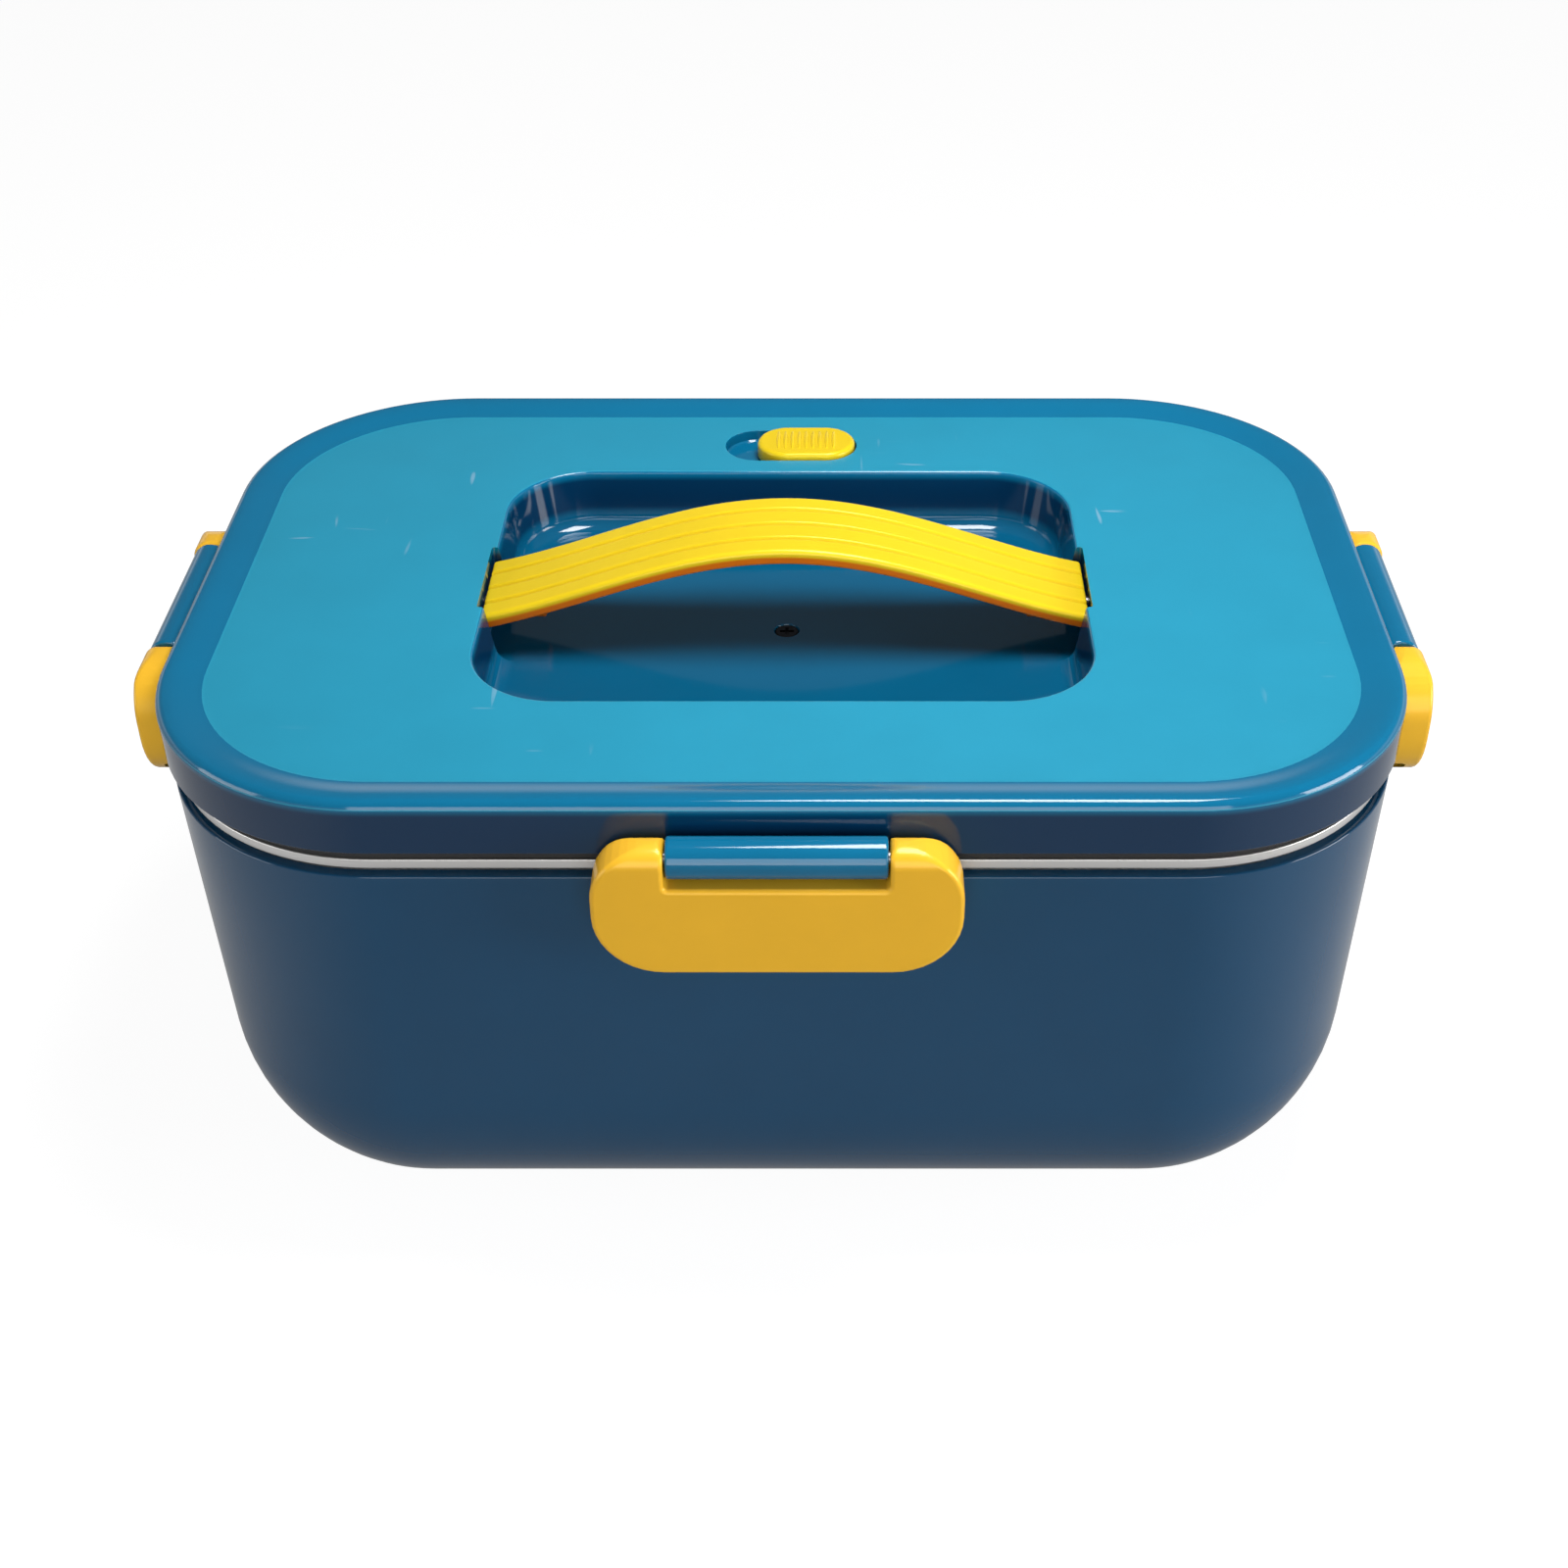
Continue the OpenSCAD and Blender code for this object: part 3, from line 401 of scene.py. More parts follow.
def smooth(tree, value, low, high, to_low=0.0, to_high=1.0):
    """Smooth step of a value, from to_low at low to to_high at high."""
    values = {"Value": value, "From Min": low, "From Max": high, "To Min": to_low, "To Max": to_high}
    return add_node(tree, "MapRange", values, interpolation_type="SMOOTHSTEP").outputs[0]


def place_in(tree, coordinates="Object"):
    """Texture coordinates of a kind."""
    return add_node(tree, "TexCoord", {}).outputs[coordinates]


def axes(tree, coordinates="Object"):
    """X, Y and Z of the texture coordinates."""
    return add_node(tree, "SeparateXYZ", {0: place_in(tree, coordinates)}).outputs[:3]


def noise(tree, vector, scale, detail=2.0, rough=0.5):
    """Noise texture's factor at a scale that is a socket or a number."""
    values = {"Vector": vector, "Scale": scale, "Detail": detail, "Roughness": rough}
    return add_node(tree, "TexNoise", values).outputs["Fac"]


def stretch(tree, vector, scale):
    """Vector scaled by a Mapping node, which draws a pattern out along one axis."""
    return add_node(tree, "Mapping", {"Vector": vector, "Scale": scale}).outputs[0]


def shared_group(name, inputs, outputs, fill):
    """Shader node group with float sockets, built the first time it is asked for.
    Fill adds its nodes and gives back a socket for each output."""
    if name in bpy.data.node_groups:
        return bpy.data.node_groups[name]
    tree = bpy.data.node_groups.new(name, "ShaderNodeTree")
    for label, value in inputs.items():
        socket = tree.interface.new_socket(label, in_out="INPUT", socket_type="NodeSocketFloat")
        socket.default_value = value
    for label in outputs:
        tree.interface.new_socket(label, in_out="OUTPUT", socket_type="NodeSocketFloat")
    given = tree.nodes.new("NodeGroupInput")
    out = tree.nodes.new("NodeGroupOutput")
    for label, result in zip(outputs, fill(tree, given.outputs)):
        tree.links.new(result, out.inputs[label])
    return tree


def place_group(tree, group, values):
    """Outputs of a group that is placed in a material with its own values."""
    return add_node(tree, "Group", values, node_tree=group).outputs


def moulding_group():
    """Moulded surface: a slow waviness, a fine grain and a few hairline scuffs in patches."""
    def fill(tree, given):
        place = place_in(tree)
        haze_scale, across_scale, along_scale, patch_scale, grain_share = 55.0, 620.0, 540.0, 32.0, 0.05
        grain = noise(tree, place, given["Grain"])
        wave = noise(tree, place, given["Wave"], detail=1.0)
        haze = noise(tree, place, haze_scale, detail=4.0, rough=0.6)
        across = noise(tree, stretch(tree, place, (1.0, 0.10, 1.0)), across_scale, detail=0.0)
        along = noise(tree, stretch(tree, place, (0.12, 1.0, 1.0)), along_scale, detail=0.0)
        patch = smooth(tree, noise(tree, place, patch_scale, detail=1.0), 0.60, 0.70)
        lines = math_node(tree, "MAXIMUM", smooth(tree, across, 0.76, 0.80), smooth(tree, along, 0.78, 0.82))
        height = math_node(tree, "ADD", times(tree, grain, grain_share), wave)
        return height, haze, times(tree, lines, patch, given["Scuff Amount"])

    inputs = {"Grain": 900.0, "Wave": 14.0, "Scuff Amount": 0.5}
    return shared_group("moulded surface", inputs, ["Height", "Haze", "Scuffs"], fill)


def panel_group():
    """Mask of the surface at one level: 1 within a tenth of a millimetre of it, 0 elsewhere."""
    def fill(tree, given):
        off = math_node(tree, "ABSOLUTE", less(tree, axes(tree)[2], given["Level"]))
        return [math_node(tree, "LESS_THAN", off, 0.1 * MM)]

    return shared_group("panel at a level", {"Level": 0.1}, ["Mask"], fill)


def wall_shade_group():
    """Mask of painted shade on a lid's walls below Level: 1 within Margin of the outline of Half Width and
    Half Depth, and within Inner Depth of the middle, where it is fainter below Foot; 0 outside the outline."""
    def fill(tree, given):
        outline_gap, foot_fade, foot_share, outer_fade = 1.5 * MM, 2.0 * MM, 0.38, 1.8 * MM
        inner_fade = (0.7 * MM, 2.5 * MM)
        x, y, z = axes(tree)
        aside, across = math_node(tree, "ABSOLUTE", x), math_node(tree, "ABSOLUTE", y)
        past = math_node(
            tree, "MAXIMUM", less(tree, aside, given["Half Width"]), less(tree, across, given["Half Depth"])
        )
        inside = math_node(tree, "LESS_THAN", past, outline_gap)
        near_edge = math_node(tree, "GREATER_THAN", math_node(tree, "ADD", past, given["Margin"]), 0.0)
        near_middle = math_node(tree, "LESS_THAN", across, given["Inner Depth"])
        strength = smooth(tree, less(tree, z, given["Foot"]), 0.0, foot_fade, foot_share)
        drop = less(tree, given["Level"], z)
        outer = times(tree, near_edge, smooth(tree, drop, 0.0, outer_fade))
        inner = times(tree, strength, near_middle, smooth(tree, drop, *inner_fade))
        return [times(tree, inside, math_node(tree, "MAXIMUM", outer, inner))]

    inputs = {label: 0.1 for label in ("Level", "Foot", "Inner Depth", "Half Width", "Half Depth")}
    return shared_group("rim below a level", {**inputs, "Margin": 14.0 * MM}, ["Mask"], fill)


def strap_shade_group():
    """Mask of painted shade on an arch's lower half: depth below Crown - Drop (1 - cos(pi x / Wave)) / 2,
    against Depth.
    """
    def fill(tree, given):
        x, _, z = axes(tree)
        turn = math_node(tree, "DIVIDE", times(tree, x, math.pi), given["Wave"])
        fall = times(tree, less(tree, 1.0, math_node(tree, "COSINE", turn)), 0.5, given["Drop"])
        depth = less(tree, less(tree, given["Crown"], fall), z)
        fade = 0.8 * MM
        return [smooth(tree, less(tree, depth, given["Depth"]), 0.0, fade)]

    inputs = {"Crown": 0.1, "Drop": 0.01, "Wave": 0.1, "Depth": 0.001}
    return shared_group("lower half of an arch", inputs, ["Mask"], fill)


def brushed_group():
    """Brushed metal: noise drawn out along X and a slow stain."""
    def fill(tree, given):
        place = place_in(tree)
        stain_scale = 24.0
        lines = noise(tree, stretch(tree, place, (0.03, 1.0, 1.0)), given["Lines"], detail=3.0, rough=0.7)
        return lines, noise(tree, place, stain_scale, detail=3.0, rough=0.6)

    return shared_group("brushed surface", {"Lines": 1400.0}, ["Height", "Stain"], fill)


# ---- Finishes ----

WARM_GLOSS = (1.0, 0.9, 0.5)   # tint of the yellow pieces' gloss
COLOUR_DRIFT = (0.93, 1.06)    # least and most of a plastic's colour, from haze 0 to 1
GLOSS_DRIFT = (0.85, 1.2)      # the same of its roughness
PANEL_DRIFT = (0.92, 1.08)     # and of a textured panel's
SCUFF_PALER = 0.35             # added to a colour where it is scuffed
GRAIN_DEPTH = 0.4 * MM
BRUSH_DRIFT = (0.7, 1.4)       # least and most of a brushed metal's roughness
BRUSH_STAIN = 0.9              # darkest share of its colour
BRUSH_BUMP, BRUSH_DEPTH = 0.12, 0.05 * MM


def new_material(name):
    """Empty node material, its tree and its Principled shader."""
    material = bpy.data.materials.new(name)
    material.use_nodes = True
    tree = material.node_tree
    shader = next(n for n in tree.nodes if n.type == "BSDF_PRINCIPLED")
    return material, tree, shader


def relief(tree, height, strength, distance):
    """Normal of a bump with a height socket."""
    values = {"Height": height, "Strength": strength, "Distance": distance}
    return add_node(tree, "Bump", values).outputs["Normal"]


def drifting(tree, haze, colour):
    """Colour that drifts a little darker and paler with the haze."""
    darker, paler = (tuple(min(1.0, share * c) for c in colour) for share in COLOUR_DRIFT)
    return mixed(tree, haze, darker, paler)


def moulded_plastic(
    name, colour, rough, bump=0.05, scuff=0.0, grain=900.0, gloss_tint=(1.0, 1.0, 1.0), shade_zone=None, satin=None
):
    """Moulded plastic: colour and gloss drift slowly, scuffs lighten it, and a fine bump breaks it up.
    Shade zone is a mask group, its values and a colour, for painted shade: a part of the surface in a deeper
    tone.
    Satin is a mask group, its values, a colour and a roughness, for a rougher textured panel whose lighter
    colour is painted light with a painted sheen."""
    if name in bpy.data.materials:
        return bpy.data.materials[name]
    material, tree, shader = new_material(name)
    wear = place_group(tree, moulding_group(), {"Grain": grain, "Scuff Amount": scuff})
    haze, scuffs = wear["Haze"], wear["Scuffs"]
    base = drifting(tree, haze, colour)
    gloss = between(tree, haze, *(rough * share for share in GLOSS_DRIFT))
    if shade_zone:
        group, values, tone = shade_zone
        base = mixed(tree, place_group(tree, group, values)["Mask"], base, drifting(tree, haze, tone))
    if satin:
        group, values, tone, panel_rough = satin
        on_panel = place_group(tree, group, values)["Mask"]
        base = mixed(tree, on_panel, base, drifting(tree, haze, tone))
        panel_gloss = between(tree, haze, *(panel_rough * share for share in PANEL_DRIFT))
        gloss = math_node(tree, "ADD", gloss, times(tree, less(tree, panel_gloss, gloss), on_panel))
        scuffs = times(tree, scuffs, on_panel)
    pale = tuple(min(1.0, c + SCUFF_PALER) for c in colour)
    set_inputs(tree, shader, {
        "Base Color": mixed(tree, scuffs, base, pale),
        "Roughness": gloss,
        "IOR": 1.5,
        "Specular Tint": gloss_tint,
        "Normal": relief(tree, wear["Height"], bump, GRAIN_DEPTH),
    })
    return material


def brushed_metal(name, colour, rough, matt_over=None):
    """Brushed metal: bump and gloss follow the brushing, and a slow stain shifts the colour.
    Matt_over is the level in metres over which the metal has a pale matt finish."""
    if name in bpy.data.materials:
        return bpy.data.materials[name]
    material, tree, shader = new_material(name)
    brush = place_group(tree, brushed_group(), {})
    set_inputs(tree, shader, {
        "Base Color": mixed(tree, brush["Stain"], tuple(BRUSH_STAIN * c for c in colour), tuple(colour)),
        "Roughness": between(tree, brush["Height"], *(rough * share for share in BRUSH_DRIFT)),
        "Metallic": 1.0,
        "Normal": relief(tree, brush["Height"], BRUSH_BUMP, BRUSH_DEPTH),
    })
    if matt_over:
        over = math_node(tree, "GREATER_THAN", axes(tree)[2], matt_over)
        set_inputs(tree, shader, {"Metallic": between(tree, over, 1.0, 0.0)})
    return material


def shell_plastic(colours):
    # The housing takes the darker copy of the teal: painted shade.
    return moulded_plastic("teal shell", colours.shaded_teal, rough=0.09, bump=0.012)


def lid_plastic(sizes, colours):
    panel, over_panel, past_recess = sizes.lid_top - sizes.band_rise, 0.3, 4.0
    # The skirt and the recess walls take the darkest teal, fainter on the recess floor: painted shade.
    walls = {
        "Level": (panel + over_panel) * MM,
        "Foot": (sizes.recess_z + sizes.recess_fillet) * MM,
        "Inner Depth": (sizes.recess_half_d + past_recess) * MM,
        "Half Width": sizes.lid_half_w * MM,
        "Half Depth": sizes.lid_half_d * MM,
    }
    return moulded_plastic(
        "teal lid", colours.teal, rough=0.08, bump=0.012, scuff=0.4,
        shade_zone=(wall_shade_group(), walls, colours.wall),
        # The flat top takes a lighter teal: painted light with a painted sheen.
        satin=(panel_group(), {"Level": panel * MM}, colours.satin, 0.34),
    )


def trim_plastic(colours):
    # The latches' more orange yellow is painted shade in part.
    return moulded_plastic("yellow trim", colours.yellow, rough=0.22, bump=0.02, gloss_tint=WARM_GLOSS)


def slider_plastic(colours):
    return moulded_plastic("yellow slider", colours.strap, rough=0.24, bump=0.02, gloss_tint=WARM_GLOSS)


def strap_plastic(sizes, colours):
    wave, drop = strap_curve(sizes)
    upper_share = 0.32   # of the strap's thickness that keeps its own tone; below it lies painted shade
    arch = {
        "Crown": (sizes.lid_top + sizes.handle_rise) * MM,
        "Drop": drop * MM,
        "Wave": wave * MM,
        "Depth": upper_share * sizes.handle_t * MM,
    }
    return moulded_plastic(
        "yellow strap", colours.strap, rough=0.24, bump=0.02, gloss_tint=WARM_GLOSS,
        shade_zone=(strap_shade_group(), arch, colours.strap_shade),
    )


def liner_plastic(colours):
    return moulded_plastic("satin liner", colours.liner, rough=0.45, bump=0.08)


def dark_rubber(colours):
    return moulded_plastic("dark rubber", colours.dark, rough=0.62, bump=0.15, grain=1600.0)


def stainless(sizes, colours):
    rim_low, margin = sizes.rim_top - sizes.rim_h, 0.05
    return brushed_metal("stainless", colours.steel, rough=0.40, matt_over=(rim_low - margin) * MM)


# ---- Housing and well ----

LEDGE_DROP = 1.6                  # from the housing's top edge to the ledge that the well hangs on
LAP = 0.1                         # how far a ledge starts off the face that it stands on
WELL_WINDOW = (64.4, 20.8, 6.0)   # half width, half depth and corner radius of the well's window
TUB_STEPS = 21                    # rings in a tub's fillet


def tub_rows(w, d, r, z0, z1, lean, fillet):
    """Rows of a tub from z0 up: the inset is fillet (1 - sin t) + tan(lean) (z1 - z),
    with z = z0 + fillet (1 - cos t)."""
    rise, drawn_in = rounding(fillet, TUB_STEPS).T
    z = z0 + rise
    inset = drawn_in + math.tan(math.radians(lean)) * (z1 - z)
    return inset_rows(w, d, r, zip(inset, z), 3.0)


def lip_rows(w, d, r, z, thick):
    """Top edge of a wall, from the outer side to the inner, with both of its edges rounded."""
    lip_r = 0.4
    edge = rounding(lip_r)
    outer = [(i, z - drop) for i, drop in edge]
    return inset_rows(w, d, r, outer + [(thick - i, z - drop) for i, drop in edge[::-1]])


def housing_shape(s):
    """Housing: outer tub up to a rounded lip, down the inner wall past its ledge, and round the base."""
    (w, d, r), wall = lid_plan(s, s.housing_step), s.housing_wall
    ledge_top, ledge_low = s.housing_top - LEDGE_DROP, s.housing_top - 4.0
    ledge_out, ledge_in = wall + LAP, wall + 2.6
    frame_w, frame_out, base_r = 6.0, 5.0, 6.0
    frame_z, cover_z = s.base_z + 4.4, s.base_z + 2.0
    outer = tub_rows(w, d, r, s.base_z, s.housing_top, s.housing_draft, s.base_fillet)
    inner = tub_rows(
        w - wall, d - wall, r - wall, s.base_z + wall, s.housing_top, s.housing_draft, s.base_fillet - wall
    )
    shelf = inset_rows(w, d, r, [
        (ledge_out, ledge_top), (ledge_in, ledge_top), (ledge_in, ledge_low), (ledge_out, ledge_low),
    ])
    base = [
        (s.base_half_w + grow, s.base_half_d + grow, base_r + max(grow, 0.0), z)
        for grow, z in (
            (frame_out, s.base_z + wall), (frame_out, frame_z), (-frame_w, frame_z),
            (-frame_w, cover_z), (0.0, cover_z), (0.0, s.base_z),
        )
    ]
    lip = lip_rows(w, d, r, s.housing_top, wall)
    return skin(plan_rings(outer + lip + shelf + inner[::-1] + base), loop=True)


def inlet_cutter():
    """Block that opens the housing's rear wall for the mains inlet."""
    low, high = (np.array(corner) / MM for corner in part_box("ac_inlet"))
    gap, past_wall = 0.2, 9.0
    return block(low - (gap, 0.0, gap), high + (gap, past_wall, gap), bevel=0.2)


def lamp_cutter():
    """Round hole in the housing's rear wall for the indicator lens."""
    low, high = (np.array(corner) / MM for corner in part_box("indicator_lens"))
    middle, gap, inside, past_wall = (low + high) / 2, 0.2, 2.0, 5.0
    points, faces = rod((high[0] - low[0]) / 2 + gap, low[1] - inside, high[1] + past_wall)
    across = np.stack([-points[:, 1], points[:, 0], points[:, 2]], 1)
    return across + (middle[0], 0.0, middle[2]), faces


def catch_shape(s):
    """The small shelf on the housing behind each latch."""
    half_w, low, high, out, into_wall = 13.0, 91.7, 94.2, 0.9, 2.0
    return block((-half_w, -out, low), (half_w, s.housing_step + into_wall, high), bevel=0.5)


class LUNCHBOX_OT_housing(Operator):
    """Build the housing's outer shell"""

    bl_idname = "lunchbox.housing"
    bl_label = "Housing Shell"

    def execute(self, context):
        s, colours = settings(context)
        obj = new_object("housing_outer", housing_shape(s))
        carve(obj, inlet_cutter(), lamp_cutter())
        add_islands(obj, *[turned(catch_shape(s), side, reach_of(s, side)) for side in SIDES])
        finish_piece(obj, "housing", "teal_plastic", shell_plastic(colours), "housing_shell")
        return {"FINISHED"}


def well_shape(s):
    """Well: inner tub, a flange at the top, and a window in the floor under the heater plate."""
    inset, thick, flange, mouth_r, flange_r = 9.6, 2.0, 3.8, 0.5, 0.4
    w, d, r = lid_plan(s, inset)
    top, floor, lean = s.housing_top + 0.8, s.rim_top - s.container_depth - 3.3, 1.5
    under, reach = s.housing_top - LEDGE_DROP, flange - inset
    inner = tub_rows(w, d, r, floor, top, lean, s.container_fillet)
    outer = tub_rows(w + thick, d + thick, r + thick, floor - thick, top, lean, s.container_fillet + thick)
    edge = inset_rows(w, d, r, [
        (0.0, top - mouth_r), (-mouth_r, top), (reach + flange_r, top),
        (reach, top - flange_r), (reach, under), (-thick - LAP, under),
    ])
    window = [(*WELL_WINDOW, floor - thick), (*WELL_WINDOW, floor)]
    return skin(plan_rings(inner + edge + outer[::-1] + window), loop=True)


class LUNCHBOX_OT_well(Operator):
    """Build the well that holds the container"""

    bl_idname = "lunchbox.well"
    bl_label = "Well Liner"

    def execute(self, context):
        s, colours = settings(context)
        obj = new_object("well_liner", well_shape(s))
        finish_piece(obj, "housing", "liner_plastic", liner_plastic(colours), "housing_liner")
        return {"FINISHED"}


# ---- Container ----

def container_shape(s):
    """Container: outer tub up to a flange with a flat rolled edge, over the mouth's edge, down the inside."""
    inset, rim_out, rim_wide, lean, bead, bend = 10.4, 2.2, 3.8, 1.5, 0.2, 0.3
    floor, thin = s.rim_top - s.container_depth, s.container_wall
    rim_in, rim_low, flange_low = rim_out + rim_wide, s.rim_top - s.rim_h, s.rim_top - thin
    mouth, mouth_edge = inset + thin, ((1.0, 0.0), (0.3, 0.2), (0.0, 0.9))   # edge: inset, drop
    outer = tub_rows(*lid_plan(s, inset), floor, s.rim_top, lean, s.container_fillet)
    inner = tub_rows(*lid_plan(s, mouth), floor + thin, s.rim_top, lean, s.container_fillet - thin)
    edge = rounding(bead)
    rim = inset_rows(*lid_plan(s), [
        (inset, flange_low), (rim_in, flange_low), (rim_in, rim_low + bend), (rim_in - bend, rim_low),
        *((rim_out + i, rim_low + rise) for i, rise in edge[::-1]),
        *((rim_out + i, s.rim_top - drop) for i, drop in edge),
        *((mouth - i, s.rim_top - drop) for i, drop in mouth_edge),
    ])
    return skin(plan_rings(outer + rim + inner[::-1]))


class LUNCHBOX_OT_container(Operator):
    """Build the steel container"""

    bl_idname = "lunchbox.container"
    bl_label = "Food Container"

    def execute(self, context):
        s, colours = settings(context)
        obj = new_object("steel_container", container_shape(s))
        finish_piece(obj, "container", "stainless", stainless(s, colours), "food_container")
        return {"FINISHED"}


# ---- Lid ----

SLOT_HALF = 14.2   # half the vent slot's length


def arc(inset, z, radius, start, end, steps=8):
    """Arc round a point as (inset, z) pairs: inset - radius cos t, z + radius sin t, in degrees."""
    t = np.radians(np.linspace(start, end, steps + 1))
    return zip(inset - radius * np.cos(t), z + radius * np.sin(t))


def lid_shape(s):
    """Lid: recess floor, fillet and wall, flat top, sloping band, rounded edge, skirt, and the underside."""
    rw, rd, rr = s.recess_half_w, s.recess_half_d, s.recess_r
    panel, edge = s.lid_top - s.band_rise, s.lid_edge_r
    lean = s.recess_lean / (panel - s.recess_z)
    brim, hem, draft, wall, bowl_wall = 0.7, 0.5, 0.15, 2.0, 1.2
    band_inset, band_end, band_low = edge + s.band_w, 0.4, 0.05
    under, presser_out, presser_in, presser_z = panel - 3.6, 5.0, 7.0, 108.8
    recess = [
        (drawn_in + lean * (panel - s.recess_z - rise), s.recess_z + rise)
        for rise, drawn_in in rounding(s.recess_fillet, 9)
    ]
    recess += [(-out, panel - drop) for out, drop in rounding(brim, 9)]
    u = np.linspace(0.0, 1.0, 9)
    band = zip(
        band_inset - (s.band_w - band_end) * u,
        panel + (s.band_rise - band_low) * (u * u * (3 - 2 * u) + u) / 2,
    )
    outside = [
        *band, *arc(edge, s.lid_top - edge, edge, 78, 0),
        (draft, s.skirt_z + hem), *arc(hem + draft, s.skirt_z + hem, hem, -20, -90, 3),
    ]
    inside = [
        (wall, s.skirt_z), (wall, under), (presser_out, under),
        (presser_out, presser_z), (presser_in, presser_z), (presser_in, under),
    ]
    box = (rw + s.pocket + bowl_wall, rd + wall, rr + wall)
    bowl = [(*box, under), (*box, s.recess_z - wall)]
    return skin(plan_rings(
        inset_rows(rw, rd, rr, recess) + inset_rows(*lid_plan(s), outside + inside) + bowl
    ))


def vent_cutters(s):
    """Stadium slot with softened edges, and the slot for the slider's guide in its floor."""
    panel = s.lid_top - s.band_rise
    half_w, floor, brim, above = 7.0, panel - 2.6, 0.35, 2.0
    soft = 0.3 * brim
    guide_left, guide_right, guide_half, guide_low, guide_high = -5.4, 5.8, 1.8, floor - 1.9, floor + 1.0
    rows = [
        (brim, floor), (0.0, floor + brim), (0.0, panel - brim),
        (-soft, panel - soft), (-brim, panel), (-brim, panel + above),
    ]
    slot = stadium(SLOT_HALF, half_w, rows, (0.0, s.slot_y))
    guide = block(
        (guide_left, s.slot_y - guide_half, guide_low),
        (guide_right, s.slot_y + guide_half, guide_high),
        bevel=0.3,
    )
    return slot, guide


def pocket_cutters(s):
    """The two pockets in which the strap's ends swing, from the recess's floor to above the panel."""
    half, above, inner = 11.64, 1.0, s.recess_half_w - s.recess_lean - s.recess_fillet
    outer, low, high = s.recess_half_w + s.pocket, s.recess_z, s.lid_top - s.band_rise + above
    return (
        block((inner, -half, low), (outer, half, high), bevel=0.3),
        block((-outer, -half, low), (-inner, half, high), bevel=0.3),
    )


def screw_cutter(s):
    """Round seat of the lid's screw in the recess floor, with a cone at its mouth."""
    radii, heights = (1.6, 2.35, 2.4, 2.6, 2.6), (-1.6, -1.0, -0.25, 0.0, 1.0)
    return skin(spun(radii, s.recess_z + np.array(heights), 40))


def barrel_shape(s):
    """Hinge barrel of a latch: a rod on a web, drawn for the front with the skirt at y = 0."""
    half, r, web_half, web_low, web_high, into_skirt = 18.9, 3.7, 18.7, 2.6, 0.4, 1.0
    bar = moved(rod(r, -half, half, bevel=0.5, steps=48), (0.0, -s.pin_out, s.pin_z))
    web = block(
        (-web_half, -s.pin_out, s.pin_z - web_low), (web_half, into_skirt, s.pin_z + web_high), bevel=0.3
    )
    return joined(bar, web)


def seal_shape(s):
    """Seal between the lid and the steel rim: a ring whose outer lip covers the rim's top."""
    lip_inset, body_inset, inner_inset, lip_h, soft = 2.45, 3.6, 11.95, 1.2, 0.25
    low, high = (corner[2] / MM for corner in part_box("lid_gasket"))
    pairs = [
        (inner_inset, low), (lip_inset + soft, low), (lip_inset, low + soft), (lip_inset, low + lip_h - soft),
        (lip_inset + soft, low + lip_h), (body_inset, low + lip_h), (body_inset, high - soft),
        (body_inset + soft, high), (inner_inset, high),
    ]
    return skin(plan_rings(inset_rows(*lid_plan(s), pairs)), loop=True)


class LUNCHBOX_OT_seal(Operator):
    """Build the lid's seal"""

    bl_idname = "lunchbox.seal"
    bl_label = "Lid Seal"

    def execute(self, context):
        s, colours = settings(context)
        obj = new_object("lid_seal", seal_shape(s))
        finish_piece(obj, "lid", "dark_silicone", dark_rubber(colours), "lid_gasket")
        return {"FINISHED"}


class LUNCHBOX_OT_lid(Operator):
    """Build the lid with its recess, vent slot and latch barrels"""

    bl_idname = "lunchbox.lid"
    bl_label = "Lid"

    def execute(self, context):
        s, colours = settings(context)
        obj = new_object("lid_top", lid_shape(s))
        carve(obj, *vent_cutters(s), screw_cutter(s), *pocket_cutters(s))
        add_islands(obj, *[turned(barrel_shape(s), side, reach_of(s, side)) for side in SIDES])
        finish_piece(obj, "lid", "teal_plastic", lid_plastic(s, colours), "lid_shell")
        return {"FINISHED"}


# ---- Handle ----

def strap_end(s):
    """Half the strap's length: it stops a little short of its pockets."""
    gap = 0.4
    return s.recess_half_w + s.pocket - gap


def strap_curve(s):
    """Half wavelength of the strap's arch and its drop, which it would reach past the strap's end."""
    past_end, below_rim = 16.7, 6.0
    return strap_end(s) + past_end, s.handle_rise + below_rim


def strap_top(s, x):
    """Upper face of the strap: crown - drop (1 - cos(pi x / wave)) / 2."""
    wave, drop = strap_curve(s)
    return s.lid_top + s.handle_rise - drop * (1 - np.cos(math.pi * x / wave)) / 2


def strap_section(s):
    """Closed section (y, depth below the top): rounded edges, with a cosine dip at each groove."""
    half, thick = s.handle_w / 2, s.handle_t
    top_r, low_r, groove, dip, pitch = 1.0, 0.8, 0.8, 0.9, 5.7
    y = np.linspace(-half + top_r, half - top_r, 161)
    depth = np.zeros_like(y)
    for centre in (-pitch, 0.0, pitch):
        u = np.clip(np.abs(y - centre) / groove, 0.0, 1.0)
        depth += dip * (1 + np.cos(math.pi * u)) / 2
    t = quarter(9)[1:]
    edge_y = half - top_r + top_r * np.sin(t)
    edge_z = top_r * (1 - np.cos(t))
    foot_y = half - low_r + low_r * np.cos(t)
    foot_z = thick - low_r + low_r * np.sin(t)
    belly = np.linspace(half - low_r, -half + low_r, 40)[1:-1]
    ys = np.concatenate([y, edge_y, foot_y, belly, -foot_y[::-1], -edge_y[::-1]])
    flat = np.full_like(belly, thick)
    zs = np.concatenate([depth, edge_z, foot_z, flat, foot_z[::-1], edge_z[::-1]])
    return ys, zs


